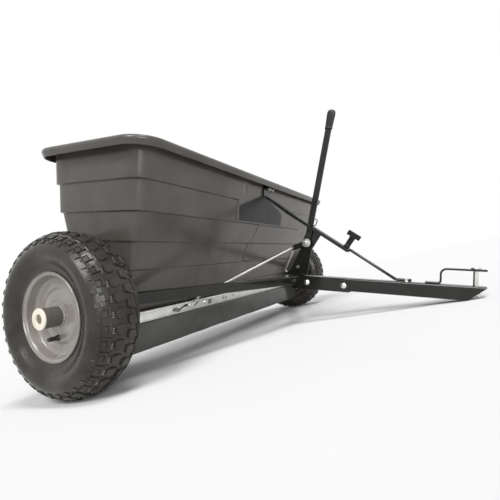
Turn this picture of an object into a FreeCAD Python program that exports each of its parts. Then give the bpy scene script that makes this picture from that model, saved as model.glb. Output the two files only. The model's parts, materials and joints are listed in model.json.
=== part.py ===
"""Tow-behind drop spreader: a parametric FreeCAD document, one object for each piece of the machine.

Level frame, in which every piece is drawn: X across the machine (left +, right -), the tongue
towards -Y, Z up, the floor at Z = 0 and the wheel axle along X at Y = 0. Once drawn, the whole
machine is turned nose-down about its axle until the tongue's nose meets the floor, which is how it
stands when it is unhitched, and moved so that its box's bottom centre is the origin.
"""

import FreeCAD, Part
import math
import os

import Sketcher
from FreeCAD import Placement, Rotation, Vector

SIZES = {
    # wheels
    "tyre_diameter": 342.0,
    "tyre_width": 116.0,
    "tyre_shoulder": 38.0,
    "tyre_bead_height": 12.0,
    "tyre_bead_gap": 2.0,
    "wheel_stand_off": 76.24,
    "rim_radius": 90.5,
    "rim_half_width": 41.5,
    "rim_lip_height": 7.0,
    "rim_gauge": 3.0,
    "disc_offset": 17.0,
    "hub_diameter": 40.0,
    "hub_inner_reach": 60.0,
    "hub_outer_reach": 59.5,
    "bush_diameter": 28.0,
    "bush_flange_diameter": 42.0,
    "bush_flange": 3.0,
    "valve_diameter": 9.0,
    "valve_length": 24.0,
    "valve_collar": 8.0,
    "valve_radius_place": 44.0,
    # axle and agitator
    "axle_diameter": 19.0,
    "running_gap": 0.05,
    "agitator_radius": 24.0,
    "agitator_blade": 5.0,
    "agitator_half_width": 13.3,
    "agitator_corner": 3.5,
    "bearing_diameter": 38.0,
    "bearing_depth": 9.0,
    # hopper
    "hopper_half_length": 570.0,
    "hopper_front": 145.0,
    "hopper_rear": 151.0,
    "hopper_top": 533.0,
    "hopper_bottom": 135.0,
    "hopper_wall": 4.0,
    "hopper_corner": 36.0,
    "hopper_foot_corner": 12.0,
    "rib_ledge": 4.5,
    "band_1_height": 80.0,
    "band_2_height": 66.0,
    "band_3_height": 64.0,
    "band_4_height": 63.0,
    "band_5_height": 66.0,
    "upper_end_slope": 0.03,
    "upper_front_slope": 0.07,
    "upper_rear_slope": 0.055,
    "end_slope": 0.08,
    "front_slope": 0.28,
    "rear_slope": 0.28,
    "rim_overhang": 29.0,
    "rim_drop": 20.0,
    "outlet_count": 19.0,
    "outlet_pitch": 54.0,
    "outlet_length": 22.0,
    "outlet_width": 22.0,
    # closure slide
    "slide_gauge": 2.0,
    "slide_front": 60.0,
    "slide_rear": 46.0,
    "slide_lip": 26.0,
    "slide_past_plate": 5.74,
    "slide_short_of_plate": 22.26,
    "slide_gap": 0.4,
    # frame
    "plate_gauge": 3.0,
    "end_plate_half_depth": 62.0,
    "end_plate_top": 212.0,
    "deflector_bottom": 64.0,
    "deflector_gauge": 2.0,
    "deflector_flange": 20.0,
    "rail_leg": 25.0,
    "rail_gauge": 3.0,
    "rail_front": 282.0,
    "rail_rear": 84.0,
    "rail_past_plate": 10.74,
    "rail_top": 222.0,
    "rail_drop": 12.0,
    "rail_clearance": 1.0,
    "tongue_width": 38.0,
    "tongue_height": 38.0,
    "tongue_top": 224.0,
    "tongue_gauge": 3.0,
    "tongue_behind": 12.0,
    "tongue_nose": 782.0,
    "nose_slope_run": 42.0,
    "cradle_behind": 24.0,
    "cradle_ahead": 158.0,
    "fit_gap": 0.3,
    "cut_past": 1.0,
    # hitch
    "strap_width": 30.0,
    "strap_gauge": 5.0,
    "strap_foot": 640.0,
    "strap_upright": 680.0,
    "strap_top": 268.0,
    "pin_diameter": 12.7,
    "pin_place": 758.0,
    "pin_bottom": 196.0,
    "pin_head_diameter": 24.0,
    "pin_head": 4.0,
    "pin_chamfer": 2.0,
    "hair_pin_wire": 3.0,
    # lever
    "pivot_forward": 298.0,
    "pivot_height": 328.0,
    "pivot_bolt_diameter": 10.0,
    "bracket_foot": 77.0,
    "bracket_heel": 58.0,
    "bracket_reach": 47.0,
    "bracket_step": 6.0,
    "bracket_shoulder": 18.0,
    "bracket_waist": 22.0,
    "bracket_nose": 41.0,
    "bracket_half_neck": 13.3,
    "washer_diameter": 27.0,
    "washer_gauge": 2.0,
    "pivot_nut_diameter": 18.0,
    "pivot_nut": 7.0,
    "pivot_head_diameter": 17.0,
    "pivot_head": 8.0,
    "lever_gap": 2.0,
    "lever_lean": 9.6,
    "lever_length": 416.0,
    "lever_width": 19.0,
    "lever_gauge": 6.0,
    "lever_foot": 14.0,
    "grip_width": 26.0,
    "grip_depth": 15.0,
    "grip_length": 60.0,
    "grip_cap": 8.0,
    "arm_reach": 42.0,
    "arm_drop": 16.0,
    "arm_gauge": 5.0,
    "arm_half_width": 9.0,
    "link_diameter": 8.0,
    "eye_gap": 1.0,
    # control strap
    "control_width": 30.0,
    "control_gauge": 3.0,
    "control_tab_top": 524.0,
    "control_tab_height": 22.0,
    "control_tab_reach": 62.0,
    "control_bend_height": 484.0,
    "control_end_forward": 429.0,
    "control_end_height": 313.0,
    "channel_rear": 215.0,
    "channel_depth": 12.0,
    "slot_width": 12.0,
    "slot_rear": 240.0,
    "slot_front": 418.0,
    "brace_diameter": 9.5,
    "brace_foot_forward": 565.0,
    "brace_tip_forward": 606.0,
    "catch_wire": 3.0,
    "catch_forward": 316.0,
    "catch_reach": 17.0,
    "stay_diameter": 6.0,
    "stay_foot_forward": 223.0,
    "stay_hook": 8.0,
    "stay_lean": 28.0,
    "stay_top_drop": 24.0,
    "knob_stem_diameter": 19.0,
    "knob_stem_length": 36.0,
    "knob_bar_length": 42.0,
    "knob_bar_thick": 15.0,
    "knob_place": 8.0,
    "knob_lift": 0.1,
    "lug_place": 272.0,
    "lug_length": 24.0,
    "lug_reach": 12.0,
    "link_gap": 0.8,
}


class Size:
    """A length that carries both its value and the sheet expression that it comes from."""

    def __init__(self, value, text):
        self.value = float(value)
        self.text = text

    @staticmethod
    def of(number):
        if isinstance(number, Size):
            return number
        return Size(number, f"({float(number)!r})")

    def _with(self, other, sign, value):
        return Size(value, f"({self.text} {sign} {other.text})")

    def __add__(self, other):
        other = Size.of(other)
        return self._with(other, "+", self.value + other.value)

    def __sub__(self, other):
        other = Size.of(other)
        return self._with(other, "-", self.value - other.value)

    def __mul__(self, other):
        other = Size.of(other)
        return self._with(other, "*", self.value * other.value)

    def __truediv__(self, other):
        other = Size.of(other)
        return self._with(other, "/", self.value / other.value)

    def __radd__(self, other):
        return Size.of(other) + self

    def __rsub__(self, other):
        return Size.of(other) - self

    def __rmul__(self, other):
        return Size.of(other) * self

    def __neg__(self):
        return Size.of(0) - self

    def __float__(self):
        return self.value


doc = FreeCAD.newDocument("drop_spreader")
sheet = doc.addObject("Spreadsheet::Sheet", "Sizes")
for row, (alias, number) in enumerate(SIZES.items(), start=1):
    sheet.set(f"B{row}", str(number))
    sheet.setAlias(f"B{row}", alias)
doc.recompute()

s = type("Sheet", (), {alias: Size(number, f"Sizes.{alias}") for alias, number in SIZES.items()})
PIECES = []


def bind(item, prop, size):
    """Set a property from the sheet, now and whenever the sheet changes."""
    item.setExpression(prop, Size.of(size).text)


def place(item, base=(0, 0, 0), turn=Rotation()):
    """Give a finished piece its place in the level frame and list it for export."""
    item.Placement = Placement(Vector(*[float(c) for c in base]), turn)
    PIECES.append(item)


def new_body(label):
    body = doc.addObject("PartDesign::Body", label)
    body.Label = label
    return body


def new_sketch(body, plane, level=0):
    """An empty sketch on one of the body's own origin planes, moved along the plane's normal."""
    sketch = body.newObject("Sketcher::SketchObject", f"{body.Name}_outline")
    support = next(item for item in body.Origin.OriginFeatures if item.Role == plane)
    sketch.AttachmentSupport = (support, [""])
    sketch.MapMode = "FlatFace"
    bind(sketch, "AttachmentOffset.Base.z", level)
    return sketch


def pin_point(sketch, edge, end, across, up):
    """Hold one end of a sketch edge at a place given by the sheet."""
    for kind, size in (("DistanceX", across), ("DistanceY", up)):
        size = Size.of(size)
        row = sketch.addConstraint(Sketcher.Constraint(kind, -1, 1, edge, end, size.value))
        bind(sketch, f"Constraints[{row}]", size)


def outline(sketch, points):
    """A closed outline of straight edges with every corner held by the sheet."""
    corners = [Vector(float(across), float(up), 0) for across, up in points]
    first = sketch.GeometryCount
    count = len(corners)
    for index in range(count):
        line = Part.LineSegment(corners[index], corners[(index + 1) % count])
        sketch.addGeometry(line, False)
    for index in range(count):
        after = first + (index + 1) % count
        sketch.addConstraint(Sketcher.Constraint("Coincident", first + index, 2, after, 1))
    for index, (across, up) in enumerate(points):
        pin_point(sketch, first + index, 1, across, up)


def box_outline(sketch, left, right, low, high):
    outline(sketch, [(left, low), (right, low), (right, high), (left, high)])


def round_box_outline(sketch, left, right, low, high, radius):
    """A rectangle with round corners: four arcs held by their centres and radius."""
    left, right, low, high, radius = (Size.of(size) for size in (left, right, low, high, radius))
    centres = [
        (right - radius, low + radius, 270),
        (right - radius, high - radius, 0),
        (left + radius, high - radius, 90),
        (left + radius, low + radius, 180),
    ]
    first = sketch.GeometryCount
    for across, up, start in centres:
        circle = Part.Circle(Vector(across.value, up.value, 0), Vector(0, 0, 1), radius.value)
        turn = math.radians(start)
        sketch.addGeometry(Part.ArcOfCircle(circle, turn, turn + math.pi / 2), False)
    for index, (across, up, _) in enumerate(centres):
        pin_point(sketch, first + index, 3, across, up)
        row = sketch.addConstraint(Sketcher.Constraint("Radius", first + index, radius.value))
        bind(sketch, f"Constraints[{row}]", radius)
    for index in range(4):
        arc = first + index
        after = first + (index + 1) % 4
        begin = sketch.getPoint(arc, 2)
        finish = sketch.getPoint(after, 1)
        line = sketch.addGeometry(Part.LineSegment(begin, finish), False)
        sketch.addConstraint(Sketcher.Constraint("Tangent", arc, 2, line, 1))
        sketch.addConstraint(Sketcher.Constraint("Tangent", line, 2, after, 1))


def circle_outline(sketch, across, up, radius):
    across, up, radius = (Size.of(size) for size in (across, up, radius))
    centre = Vector(across.value, up.value, 0)
    edge = sketch.addGeometry(Part.Circle(centre, Vector(0, 0, 1), radius.value), False)
    pin_point(sketch, edge, 3, across, up)
    row = sketch.addConstraint(Sketcher.Constraint("Radius", edge, radius.value))
    bind(sketch, f"Constraints[{row}]", radius)


def pad(body, sketch, length, midplane=False, reverse=False):
    item = body.newObject("PartDesign::Pad", f"{body.Name}_pad")
    item.Profile = sketch
    item.SideType = "Symmetric" if midplane else "One side"
    item.Reversed = reverse
    bind(item, "Length", length)
    return item


def pocket(body, sketch, length, midplane=False, reverse=False):
    item = body.newObject("PartDesign::Pocket", f"{body.Name}_pocket")
    item.Profile = sketch
    item.SideType = "Symmetric" if midplane else "One side"
    item.Reversed = reverse
    bind(item, "Length", length)
    return item


def pattern(body, feature, count, pitch):
    """Repeat a feature along the body's X axis."""
    item = body.newObject("PartDesign::LinearPattern", f"{body.Name}_pattern")
    item.Originals = [feature]
    axis = next(part for part in body.Origin.OriginFeatures if part.Role == "X_Axis")
    item.Direction = (axis, [""])
    bind(item, "Occurrences", count)
    bind(item, "Length", pitch * (count - 1))
    body.Tip = item
    return item


def spin(body, sketch):
    """Turn a sketch of the XY plane all the way round the body's X axis."""
    item = body.newObject("PartDesign::Revolution", f"{body.Name}_turned")
    item.Profile = sketch
    item.ReferenceAxis = (sketch, ["H_Axis"])
    item.Angle = 360
    return item


def turned(label, points):
    """A turned piece: an outline of (place along the axis, radius) spun round X."""
    body = new_body(label)
    sketch = new_sketch(body, "XY_Plane")
    outline(sketch, points)
    spin(body, sketch)
    return body


def loft(body, lower, upper, cut=False):
    kind = "PartDesign::SubtractiveLoft" if cut else "PartDesign::AdditiveLoft"
    item = body.newObject(kind, f"{body.Name}_loft")
    item.Profile = lower
    item.Sections = [upper]
    item.Ruled = True
    return item


def bent_rod(label, points, radius, across=0):
    """A round rod along straight runs of the YZ plane, mitred where it is bent."""
    body = new_body(label)
    path = new_sketch(body, "YZ_Plane", across)
    count = len(points)
    for index in range(count - 1):
        ends = [Vector(float(along), float(up), 0) for along, up in points[index:index + 2]]
        path.addGeometry(Part.LineSegment(*ends), False)
        pin_point(path, index, 1, *points[index])
        if index:
            path.addConstraint(Sketcher.Constraint("Coincident", index - 1, 2, index, 1))
    pin_point(path, count - 2, 2, *points[-1])
    section = new_sketch(body, "XZ_Plane")
    circle_outline(section, 0, 0, radius)
    forward = points[0][0] - points[1][0]
    down = points[0][1] - points[1][1]
    section.AttachmentOffset = Placement(Vector(), Rotation(Vector(1, 0, 0), 1))
    bind(section, "AttachmentOffset.Base.x", across)
    bind(section, "AttachmentOffset.Base.y", points[0][1])
    bind(section, "AttachmentOffset.Base.z", -points[0][0])
    pitch = math.degrees(math.atan2(float(down), float(forward)))
    bind(section, "AttachmentOffset.Rotation.Angle", Size(pitch, f"atan2({down.text}; {forward.text})"))
    rod = body.newObject("PartDesign::AdditivePipe", f"{label}_rod")
    rod.Profile = section
    rod.Spine = path
    rod.Transition = "Right corner"
    place(body)


axle_height = s.tyre_diameter / 2


# ---------------------------------------------------------------- hopper

def band_sections(skin):
    """The hopper's six bands from the top: (upper level, upper box, lower level, lower box).

    A box is (half length, front, rear, corner radius). Each band is drawn in a little from the one
    above by a ledge, the two upper bands are nearly upright, and the four lower ones slope in at
    the front and rear. skin moves every face inwards and every ledge and the floor up by one wall.
    """
    heights = [s.band_1_height, s.band_2_height, s.band_3_height, s.band_4_height, s.band_5_height]
    foot = s.hopper_top - s.hopper_bottom
    for height in heights:
        foot = foot - height
    heights.append(foot)
    half = s.hopper_half_length - skin
    front = s.hopper_front - skin
    rear = s.hopper_rear - skin
    top = s.hopper_top
    bands = []
    corner = s.hopper_corner - skin
    corner_step = (s.hopper_corner - s.hopper_foot_corner) / len(heights)
    for index, height in enumerate(heights):
        sloped = index > 1
        low = top - height
        end_in = height * (s.end_slope if sloped else s.upper_end_slope)
        front_in = height * (s.front_slope if sloped else s.upper_front_slope)
        rear_in = height * (s.rear_slope if sloped else s.upper_rear_slope)
        upper = (half, front, rear, corner)
        half = half - end_in
        front = front - front_in
        rear = rear - rear_in
        corner = corner - corner_step
        bands.append((top, upper, low, (half, front, rear, corner)))
        half = half - s.rib_ledge
        front = front - s.rib_ledge
        rear = rear - s.rib_ledge
        top = low
    return bands


def box_sketch(body, level, box):
    half, front, rear, corner = box
    sketch = new_sketch(body, "XY_Plane", level)
    round_box_outline(sketch, -half, half, -front, rear, corner)
    return sketch


def hopper():
    body = new_body("hopper")
    for top, upper, low, lower in band_sections(Size.of(0)):
        loft(body, box_sketch(body, low, lower), box_sketch(body, top, upper))
    half = s.hopper_half_length + s.rim_overhang
    front = s.hopper_front + s.rim_overhang
    rear = s.hopper_rear + s.rim_overhang
    corner = s.hopper_corner + s.rim_overhang
    rim = new_sketch(body, "XY_Plane", s.hopper_top - s.rim_drop)
    round_box_outline(rim, -half, half, -front, rear, corner)
    pad(body, rim, s.rim_drop)
    groove = new_sketch(body, "XY_Plane", s.hopper_top - s.rim_drop)
    wall = s.hopper_wall
    round_box_outline(groove, wall - half, half - wall, wall - front, rear - wall, corner - wall)
    round_box_outline(groove, -s.hopper_half_length, s.hopper_half_length, -s.hopper_front,
                      s.hopper_rear, s.hopper_corner)
    pocket(body, groove, s.rim_drop - wall, reverse=True)
    for top, upper, low, lower in band_sections(wall):
        loft(body, box_sketch(body, low + wall, lower), box_sketch(body, top + wall, upper), cut=True)
    outlet = new_sketch(body, "XY_Plane", s.hopper_bottom)
    start = -s.outlet_pitch * (s.outlet_count - 1) / 2
    box_outline(outlet, start - s.outlet_length / 2, start + s.outlet_length / 2,
                -s.outlet_width / 2, s.outlet_width / 2)
    hole = pocket(body, outlet, wall, reverse=True)
    pattern(body, hole, s.outlet_count, s.outlet_pitch)
    bore = new_sketch(body, "YZ_Plane")
    circle_outline(bore, 0, axle_height, s.axle_diameter / 2 + s.hopper_wall)
    pocket(body, bore, right_across, midplane=True)
    place(body)


# ---------------------------------------------------------------- frame under the hopper

def band_4_half_length():
    return band_sections(Size.of(0))[3][3][0]


end_plate_inner = band_4_half_length() + s.fit_gap
end_plate_outer = end_plate_inner + s.plate_gauge
track_half = end_plate_outer + s.wheel_stand_off
rail_end = end_plate_outer + s.rail_past_plate
rail_run = rail_end - s.tongue_width / 2
rail_slope = (s.rail_front - s.rail_rear) / rail_run


def rail_y(across):
    """The front face of a frame rail at a distance from the middle plane."""
    return -s.rail_front + (across - s.tongue_width / 2) * rail_slope


def end_plate(label, side):
    body = new_body(label)
    plate = new_sketch(body, "YZ_Plane", side * end_plate_inner)
    depth = s.end_plate_half_depth
    nose = rail_y(end_plate_outer) + s.rail_gauge + s.fit_gap
    tab_low = s.rail_top - s.rail_drop - s.rail_leg + s.fit_gap
    tab_top = s.rail_top - s.rail_drop - s.rail_gauge - s.rail_clearance
    outline(plate, [(-depth, s.deflector_bottom), (depth, s.deflector_bottom), (depth, s.end_plate_top),
                    (-depth, s.end_plate_top), (-depth, tab_top), (nose, tab_top), (nose, tab_low),
                    (-depth, tab_low)])
    pad(body, plate, s.plate_gauge, reverse=side < 0)
    tab = new_sketch(body, "XY_Plane", tab_low)
    inner = end_plate_inner
    outer = rail_end
    gap = s.rail_gauge + s.fit_gap
    outline(tab, [(side * inner, rail_y(inner) + gap), (side * outer, rail_y(outer) + gap),
                  (side * outer, rail_y(outer) + gap + s.plate_gauge),
                  (side * inner, rail_y(inner) + gap + s.plate_gauge)])
    pad(body, tab, tab_top - tab_low)
    bore = new_sketch(body, "YZ_Plane")
    circle_outline(bore, 0, axle_height, s.axle_diameter / 2 + s.plate_gauge)
    pocket(body, bore, right_across, midplane=True)
    window = new_sketch(body, "YZ_Plane")
    low = s.hopper_bottom - s.slide_gap * 2 - s.slide_gauge - s.plate_gauge
    box_outline(window, -s.end_plate_half_depth - s.cut_past, s.slide_rear + s.plate_gauge, low,
                low + s.slide_lip + s.plate_gauge * 3)
    pocket(body, window, right_across, midplane=True)
    place(body)


def deflector(label, side):
    """A sheet below the hopper: an upright skirt with a flange turned in under the closure slide."""
    body = new_body(label)
    top = slide_low - s.slide_gap
    gauge = s.deflector_gauge
    face = s.end_plate_half_depth
    section = new_sketch(body, "YZ_Plane")
    outline(section, [(side * face, s.deflector_bottom), (side * face, top),
                      (side * (face - s.deflector_flange), top),
                      (side * (face - s.deflector_flange), top - gauge),
                      (side * (face - gauge), top - gauge), (side * (face - gauge), s.deflector_bottom)])
    pad(body, section, end_plate_inner * 2, midplane=True)
    place(body)


def frame_rail(label, side):
    """An angle iron from the tongue back to the end plate, falling a little on its way out."""
    body = new_body(label)
    inner = s.tongue_width / 2 + s.fit_gap + s.plate_gauge + s.rail_clearance
    outer = rail_end
    for depth, low in ((s.rail_gauge, s.rail_top - s.rail_leg), (s.rail_leg, s.rail_top - s.rail_gauge)):
        leg = new_sketch(body, "XY_Plane", low)
        outline(leg, [(side * inner, rail_y(inner)), (side * outer, rail_y(outer)),
                      (side * outer, rail_y(outer) + depth), (side * inner, rail_y(inner) + depth)])
        pad(body, leg, s.rail_top - low)
    angle = math.degrees(math.atan2(float(s.rail_drop), float(rail_run))) * side
    hinge = Vector(side * float(inner), 0, float(s.rail_top))
    turn = Rotation(Vector(0, 1, 0), angle)
    place(body, hinge - turn.multVec(hinge), turn)


def tongue():
    """A channel, open below, whose front is cut back to a sloping nose."""
    body = new_body("tongue")
    bottom = s.tongue_top - s.tongue_height
    side = new_sketch(body, "YZ_Plane")
    rear = s.tongue_behind - s.rail_front
    outline(side, [(rear, bottom), (rear, s.tongue_top), (-s.tongue_nose, s.tongue_top),
                   (-s.tongue_nose, s.tongue_top - s.tongue_gauge), (nose_corner, bottom)])
    pad(body, side, s.tongue_width, midplane=True)
    trough = new_sketch(body, "YZ_Plane")
    box_outline(trough, -s.tongue_nose - s.cut_past, s.cut_past + rear, bottom - s.cut_past,
                s.tongue_top - s.tongue_gauge)
    pocket(body, trough, s.tongue_width - s.tongue_gauge * 2, midplane=True)
    hole = new_sketch(body, "XY_Plane", s.tongue_top)
    circle_outline(hole, 0, -s.pin_place, s.pin_diameter / 2 + s.running_gap)
    pocket(body, hole, s.tongue_gauge)
    place(body)


def hitch_bracket():
    """The cradle under the rear of the tongue that the two rails are bolted to."""
    body = new_body("hitch_bracket")
    bottom = s.tongue_top - s.tongue_height - s.fit_gap
    inner = s.tongue_width / 2 + s.fit_gap
    outer = inner + s.plate_gauge
    side = new_sketch(body, "YZ_Plane")
    height = s.tongue_top - bottom
    rear = s.cradle_behind - s.rail_front
    front = -s.cradle_ahead - s.rail_front
    outline(side, [(rear, bottom - s.plate_gauge), (rear, s.tongue_top),
                   (front + height / 2, s.tongue_top), (front, s.tongue_top - height / 3),
                   (front, bottom - s.plate_gauge)])
    pad(body, side, outer * 2, midplane=True)
    trough = new_sketch(body, "YZ_Plane")
    box_outline(trough, front - s.cut_past, s.cut_past + rear, bottom, s.tongue_top + s.cut_past)
    pocket(body, trough, inner * 2, midplane=True)
    place(body)


def hitch_strap():
    """A flat bar on the tongue that rises and runs forward over the nose to take the hitch pin."""
    body = new_body("hitch_strap")
    low = s.tongue_top
    top = s.strap_top
    gauge = s.strap_gauge
    tip = s.tongue_nose
    side = new_sketch(body, "YZ_Plane")
    outline(side, [(-s.strap_foot, low), (-s.strap_foot, low + gauge),
                   (-s.strap_upright + gauge, low + gauge), (-s.strap_upright + gauge, top),
                   (-tip, top), (-tip, top - gauge),
                   (-s.strap_upright, top - gauge), (-s.strap_upright, low)])
    pad(body, side, s.strap_width, midplane=True)
    hole = new_sketch(body, "XY_Plane", top)
    circle_outline(hole, 0, -s.pin_place, s.pin_diameter / 2 + s.running_gap)
    pocket(body, hole, gauge)
    place(body)


def hitch_pin():
    radius = s.pin_diameter / 2
    head = s.pin_head_diameter / 2
    length = s.strap_top - s.pin_bottom
    body = turned("hitch_pin", [(0, 0), (length + s.pin_head, 0), (length + s.pin_head, head),
                                (length, head), (length, radius),
                                (s.pin_chamfer, radius), (0, radius - s.pin_chamfer)])
    place(body, (0, -s.pin_place, s.pin_bottom), UPRIGHT)


def hair_pin():
    """The spring clip through the foot of the hitch pin, drawn as the wire's straight leg."""
    wire = s.hair_pin_wire / 2
    reach = s.pin_diameter
    body = turned("hair_pin", [(-reach, 0), (reach, 0), (reach, wire), (-reach, wire)])
    place(body, (0, -s.pin_place - s.pin_diameter / 2 - wire - s.fit_gap, s.pin_bottom + wire))


def lever_bracket():
    """The upright plate beside the lever, from its foot on the tongue to the control strap."""
    body = new_body("lever_bracket")
    side = new_sketch(body, "YZ_Plane", bracket_inner)
    top = s.pivot_height
    pivot = s.pivot_forward
    reach = pivot + s.bracket_reach
    under = s.control_gauge + s.fit_gap
    neck = s.bracket_half_neck
    nose = reach - s.bracket_nose
    outline(side, [(-pivot + s.bracket_foot, s.tongue_top),
                   (-pivot + s.bracket_foot, s.tongue_top + s.bracket_step),
                   (-pivot + s.bracket_heel, s.tongue_top + s.bracket_step * 2),
                   (-pivot + s.lever_width, top - s.lever_width / 2),
                   (-pivot + neck, top + s.bracket_shoulder),
                   (-nose, strap_height(nose) - under), (-reach, strap_height(reach) - under),
                   (-pivot - neck, top - s.bracket_waist), (-pivot, s.tongue_top)])
    pad(body, side, s.plate_gauge)
    foot = new_sketch(body, "XY_Plane", s.tongue_top)
    box_outline(foot, -s.tongue_width / 2, bracket_inner, -pivot, -pivot + s.bracket_foot)
    pad(body, foot, s.plate_gauge)
    bore = new_sketch(body, "YZ_Plane")
    circle_outline(bore, -s.pivot_forward, s.pivot_height, s.pivot_bolt_diameter / 2 + s.running_gap)
    pocket(body, bore, s.tongue_width * 2, midplane=True)
    place(body)


def pivot_bolt():
    radius = s.pivot_bolt_diameter / 2
    washer = s.washer_diameter / 2
    head = s.pivot_head_diameter / 2
    nut = s.pivot_nut_diameter / 2
    start = -s.lever_gauge / 2 - s.arm_gauge - s.fit_gap
    face = start - s.washer_gauge
    stop = bracket_inner + s.plate_gauge
    body = turned("pivot_bolt", [(face - s.pivot_nut, 0), (stop + s.pivot_head, 0),
                                 (stop + s.pivot_head, head), (stop, head), (stop, radius),
                                 (start, radius), (start, washer), (face, washer), (face, nut),
                                 (face - s.pivot_nut, nut)])
    place(body, (0, -s.pivot_forward, s.pivot_height))


def control_lever():
    """The flat hand lever with its short arm, drawn upright about the pivot and leaned forward."""
    body = new_body("control_lever")
    side = new_sketch(body, "YZ_Plane")
    half = s.lever_width / 2
    box_outline(side, -half, half, -s.lever_foot, s.lever_length - s.grip_cap)
    pad(body, side, s.lever_gauge, midplane=True)
    arm = new_sketch(body, "YZ_Plane", -s.lever_gauge / 2)
    lean = math.radians(float(s.lever_lean))
    along = math.hypot(float(s.arm_reach), float(s.arm_drop))
    turn = -lean - math.atan2(float(s.arm_drop), float(s.arm_reach))
    reach = Vector(math.cos(turn), math.sin(turn), 0) * (along + float(s.arm_half_width))
    side_step = Vector(-math.sin(turn), math.cos(turn), 0) * float(s.arm_half_width)
    outline(arm, [(-half, -half), (0, -half), (reach.x - side_step.x, reach.y - side_step.y),
                  (reach.x + side_step.x, reach.y + side_step.y), (0, half), (-half, half)])
    pad(body, arm, s.arm_gauge, reverse=True)
    bore = new_sketch(body, "YZ_Plane")
    circle_outline(bore, 0, 0, s.pivot_bolt_diameter / 2 + s.running_gap * 2)
    pocket(body, bore, s.tongue_width * 2, midplane=True)
    eye = new_sketch(body, "YZ_Plane")
    circle_outline(eye, math.cos(turn) * along, math.sin(turn) * along, s.link_diameter / 2 + s.eye_gap)
    pocket(body, eye, s.tongue_width * 2, midplane=True)
    place(body, (0, -s.pivot_forward, s.pivot_height), LEANED)


def lever_grip():
    body = new_body("lever_grip")
    side = new_sketch(body, "YZ_Plane")
    half = s.grip_width / 2
    low = s.lever_length - s.grip_length
    box_outline(side, -half, half, low, s.lever_length)
    pad(body, side, s.grip_depth, midplane=True)
    socket = new_sketch(body, "YZ_Plane")
    box_outline(socket, -s.lever_width / 2, s.lever_width / 2, low - s.cut_past,
                s.lever_length - s.grip_cap)
    pocket(body, socket, s.lever_gauge, midplane=True)
    place(body, (0, -s.pivot_forward, s.pivot_height), LEANED)


def strap_height(forward):
    """The top face of the sloping control strap at a distance ahead of the axle."""
    run = s.control_end_forward - control_tab_forward
    return s.control_bend_height + (control_tab_forward - forward) * (
        (s.control_bend_height - s.control_end_height) / run)


def control_strap():
    """The slotted channel that guides the lever, with its tab bolted to the hopper under the rim."""
    body = new_body("control_strap")
    gauge = s.control_gauge
    tab = -control_tab_forward
    end = -s.control_end_forward
    side = new_sketch(body, "YZ_Plane")
    outline(side, [(tab, s.control_tab_top), (tab + gauge, s.control_tab_top),
                   (tab + gauge, s.control_bend_height - gauge), (end, s.control_end_height - gauge),
                   (end, s.control_end_height), (tab, s.control_bend_height)])
    pad(body, side, s.control_width, midplane=True)
    plate = new_sketch(body, "XZ_Plane", control_tab_forward)
    box_outline(plate, -s.control_width / 2, s.control_tab_reach, s.control_tab_top - s.control_tab_height,
                s.control_tab_top)
    pad(body, plate, gauge, reverse=True)
    start = s.channel_rear
    flange = new_sketch(body, "YZ_Plane")
    outline(flange, [(-start, strap_height(start)), (end, s.control_end_height),
                     (end, s.control_end_height - s.channel_depth),
                     (-start, strap_height(start) - s.channel_depth)])
    pad(body, flange, s.control_width, midplane=True)
    trough = new_sketch(body, "YZ_Plane")
    past = s.cut_past
    outline(trough, [(past - start, strap_height(start - past) - gauge),
                     (end - past, s.control_end_height - gauge),
                     (end - past, s.control_end_height - s.channel_depth * 2),
                     (past - start, strap_height(start) - s.channel_depth * 2)])
    pocket(body, trough, s.control_width - gauge * 2, midplane=True)
    slot = new_sketch(body, "XY_Plane", s.control_bend_height)
    box_outline(slot, -s.slot_width / 2, s.slot_width / 2, -s.slot_front, -s.slot_rear)
    pocket(body, slot, s.control_bend_height - s.control_end_height + s.channel_depth)
    place(body)


def lever_catch():
    """The small wire loop beside the channel that the lever is drawn past."""
    wire = s.catch_wire / 2
    across = -s.control_width / 2 - wire - s.fit_gap / 2
    near = s.catch_forward
    deep = s.channel_depth
    bent_rod("lever_catch", [(-near, strap_height(near) - deep), (-near - s.catch_reach, strap_height(near)),
                             (-near, strap_height(near) + deep)], wire, across)


def bracket_stay():
    """The short bright rod that stands on the rear foot of the lever's bracket."""
    radius = s.stay_diameter / 2
    foot = s.tongue_top + s.plate_gauge + radius
    rear = s.stay_foot_forward
    bent_rod("bracket_stay", [(-rear - s.stay_hook, foot), (-rear, foot + s.stay_hook),
                              (-rear - s.stay_lean, s.pivot_height - s.stay_top_drop)],
             radius, bracket_inner - radius - s.fit_gap / 2)


def strap_brace():
    """The rod from the foot of the control strap down to the tongue, where it lies flat."""
    radius = s.brace_diameter / 2
    low = s.tongue_top + radius
    high = s.control_end_height - s.control_gauge / 2
    start = -s.control_end_forward - radius / 2
    bent_rod("strap_brace",
             [(start, high), (-s.brace_foot_forward, low), (-s.brace_tip_forward, low)], radius)


def stop_knob():
    """The clamp in the strap's slot that stops the lever: a round stem and a cross bar."""
    body = new_body("stop_knob")
    stem = new_sketch(body, "XY_Plane")
    circle_outline(stem, 0, 0, s.knob_stem_diameter / 2)
    pad(body, stem, s.knob_stem_length)
    bar = new_sketch(body, "XZ_Plane")
    low = s.knob_stem_length - s.cut_past
    box_outline(bar, -s.knob_bar_length / 2, s.knob_bar_length / 2, low, low + s.knob_bar_thick)
    pad(body, bar, s.knob_bar_thick, midplane=True)
    fall = math.atan2(float(s.control_bend_height - s.control_end_height),
                      float(s.control_end_forward - control_tab_forward))
    along = float(s.knob_place)
    centre = (0, along * math.cos(fall) - float(s.control_end_forward),
              float(s.control_end_height + s.knob_lift) + along * math.sin(fall))
    place(body, centre, Rotation(Vector(1, 0, 0), math.degrees(fall)) * Rotation(Vector(0, 0, 1), 90))


# ---------------------------------------------------------------- closure slide and its link

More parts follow.
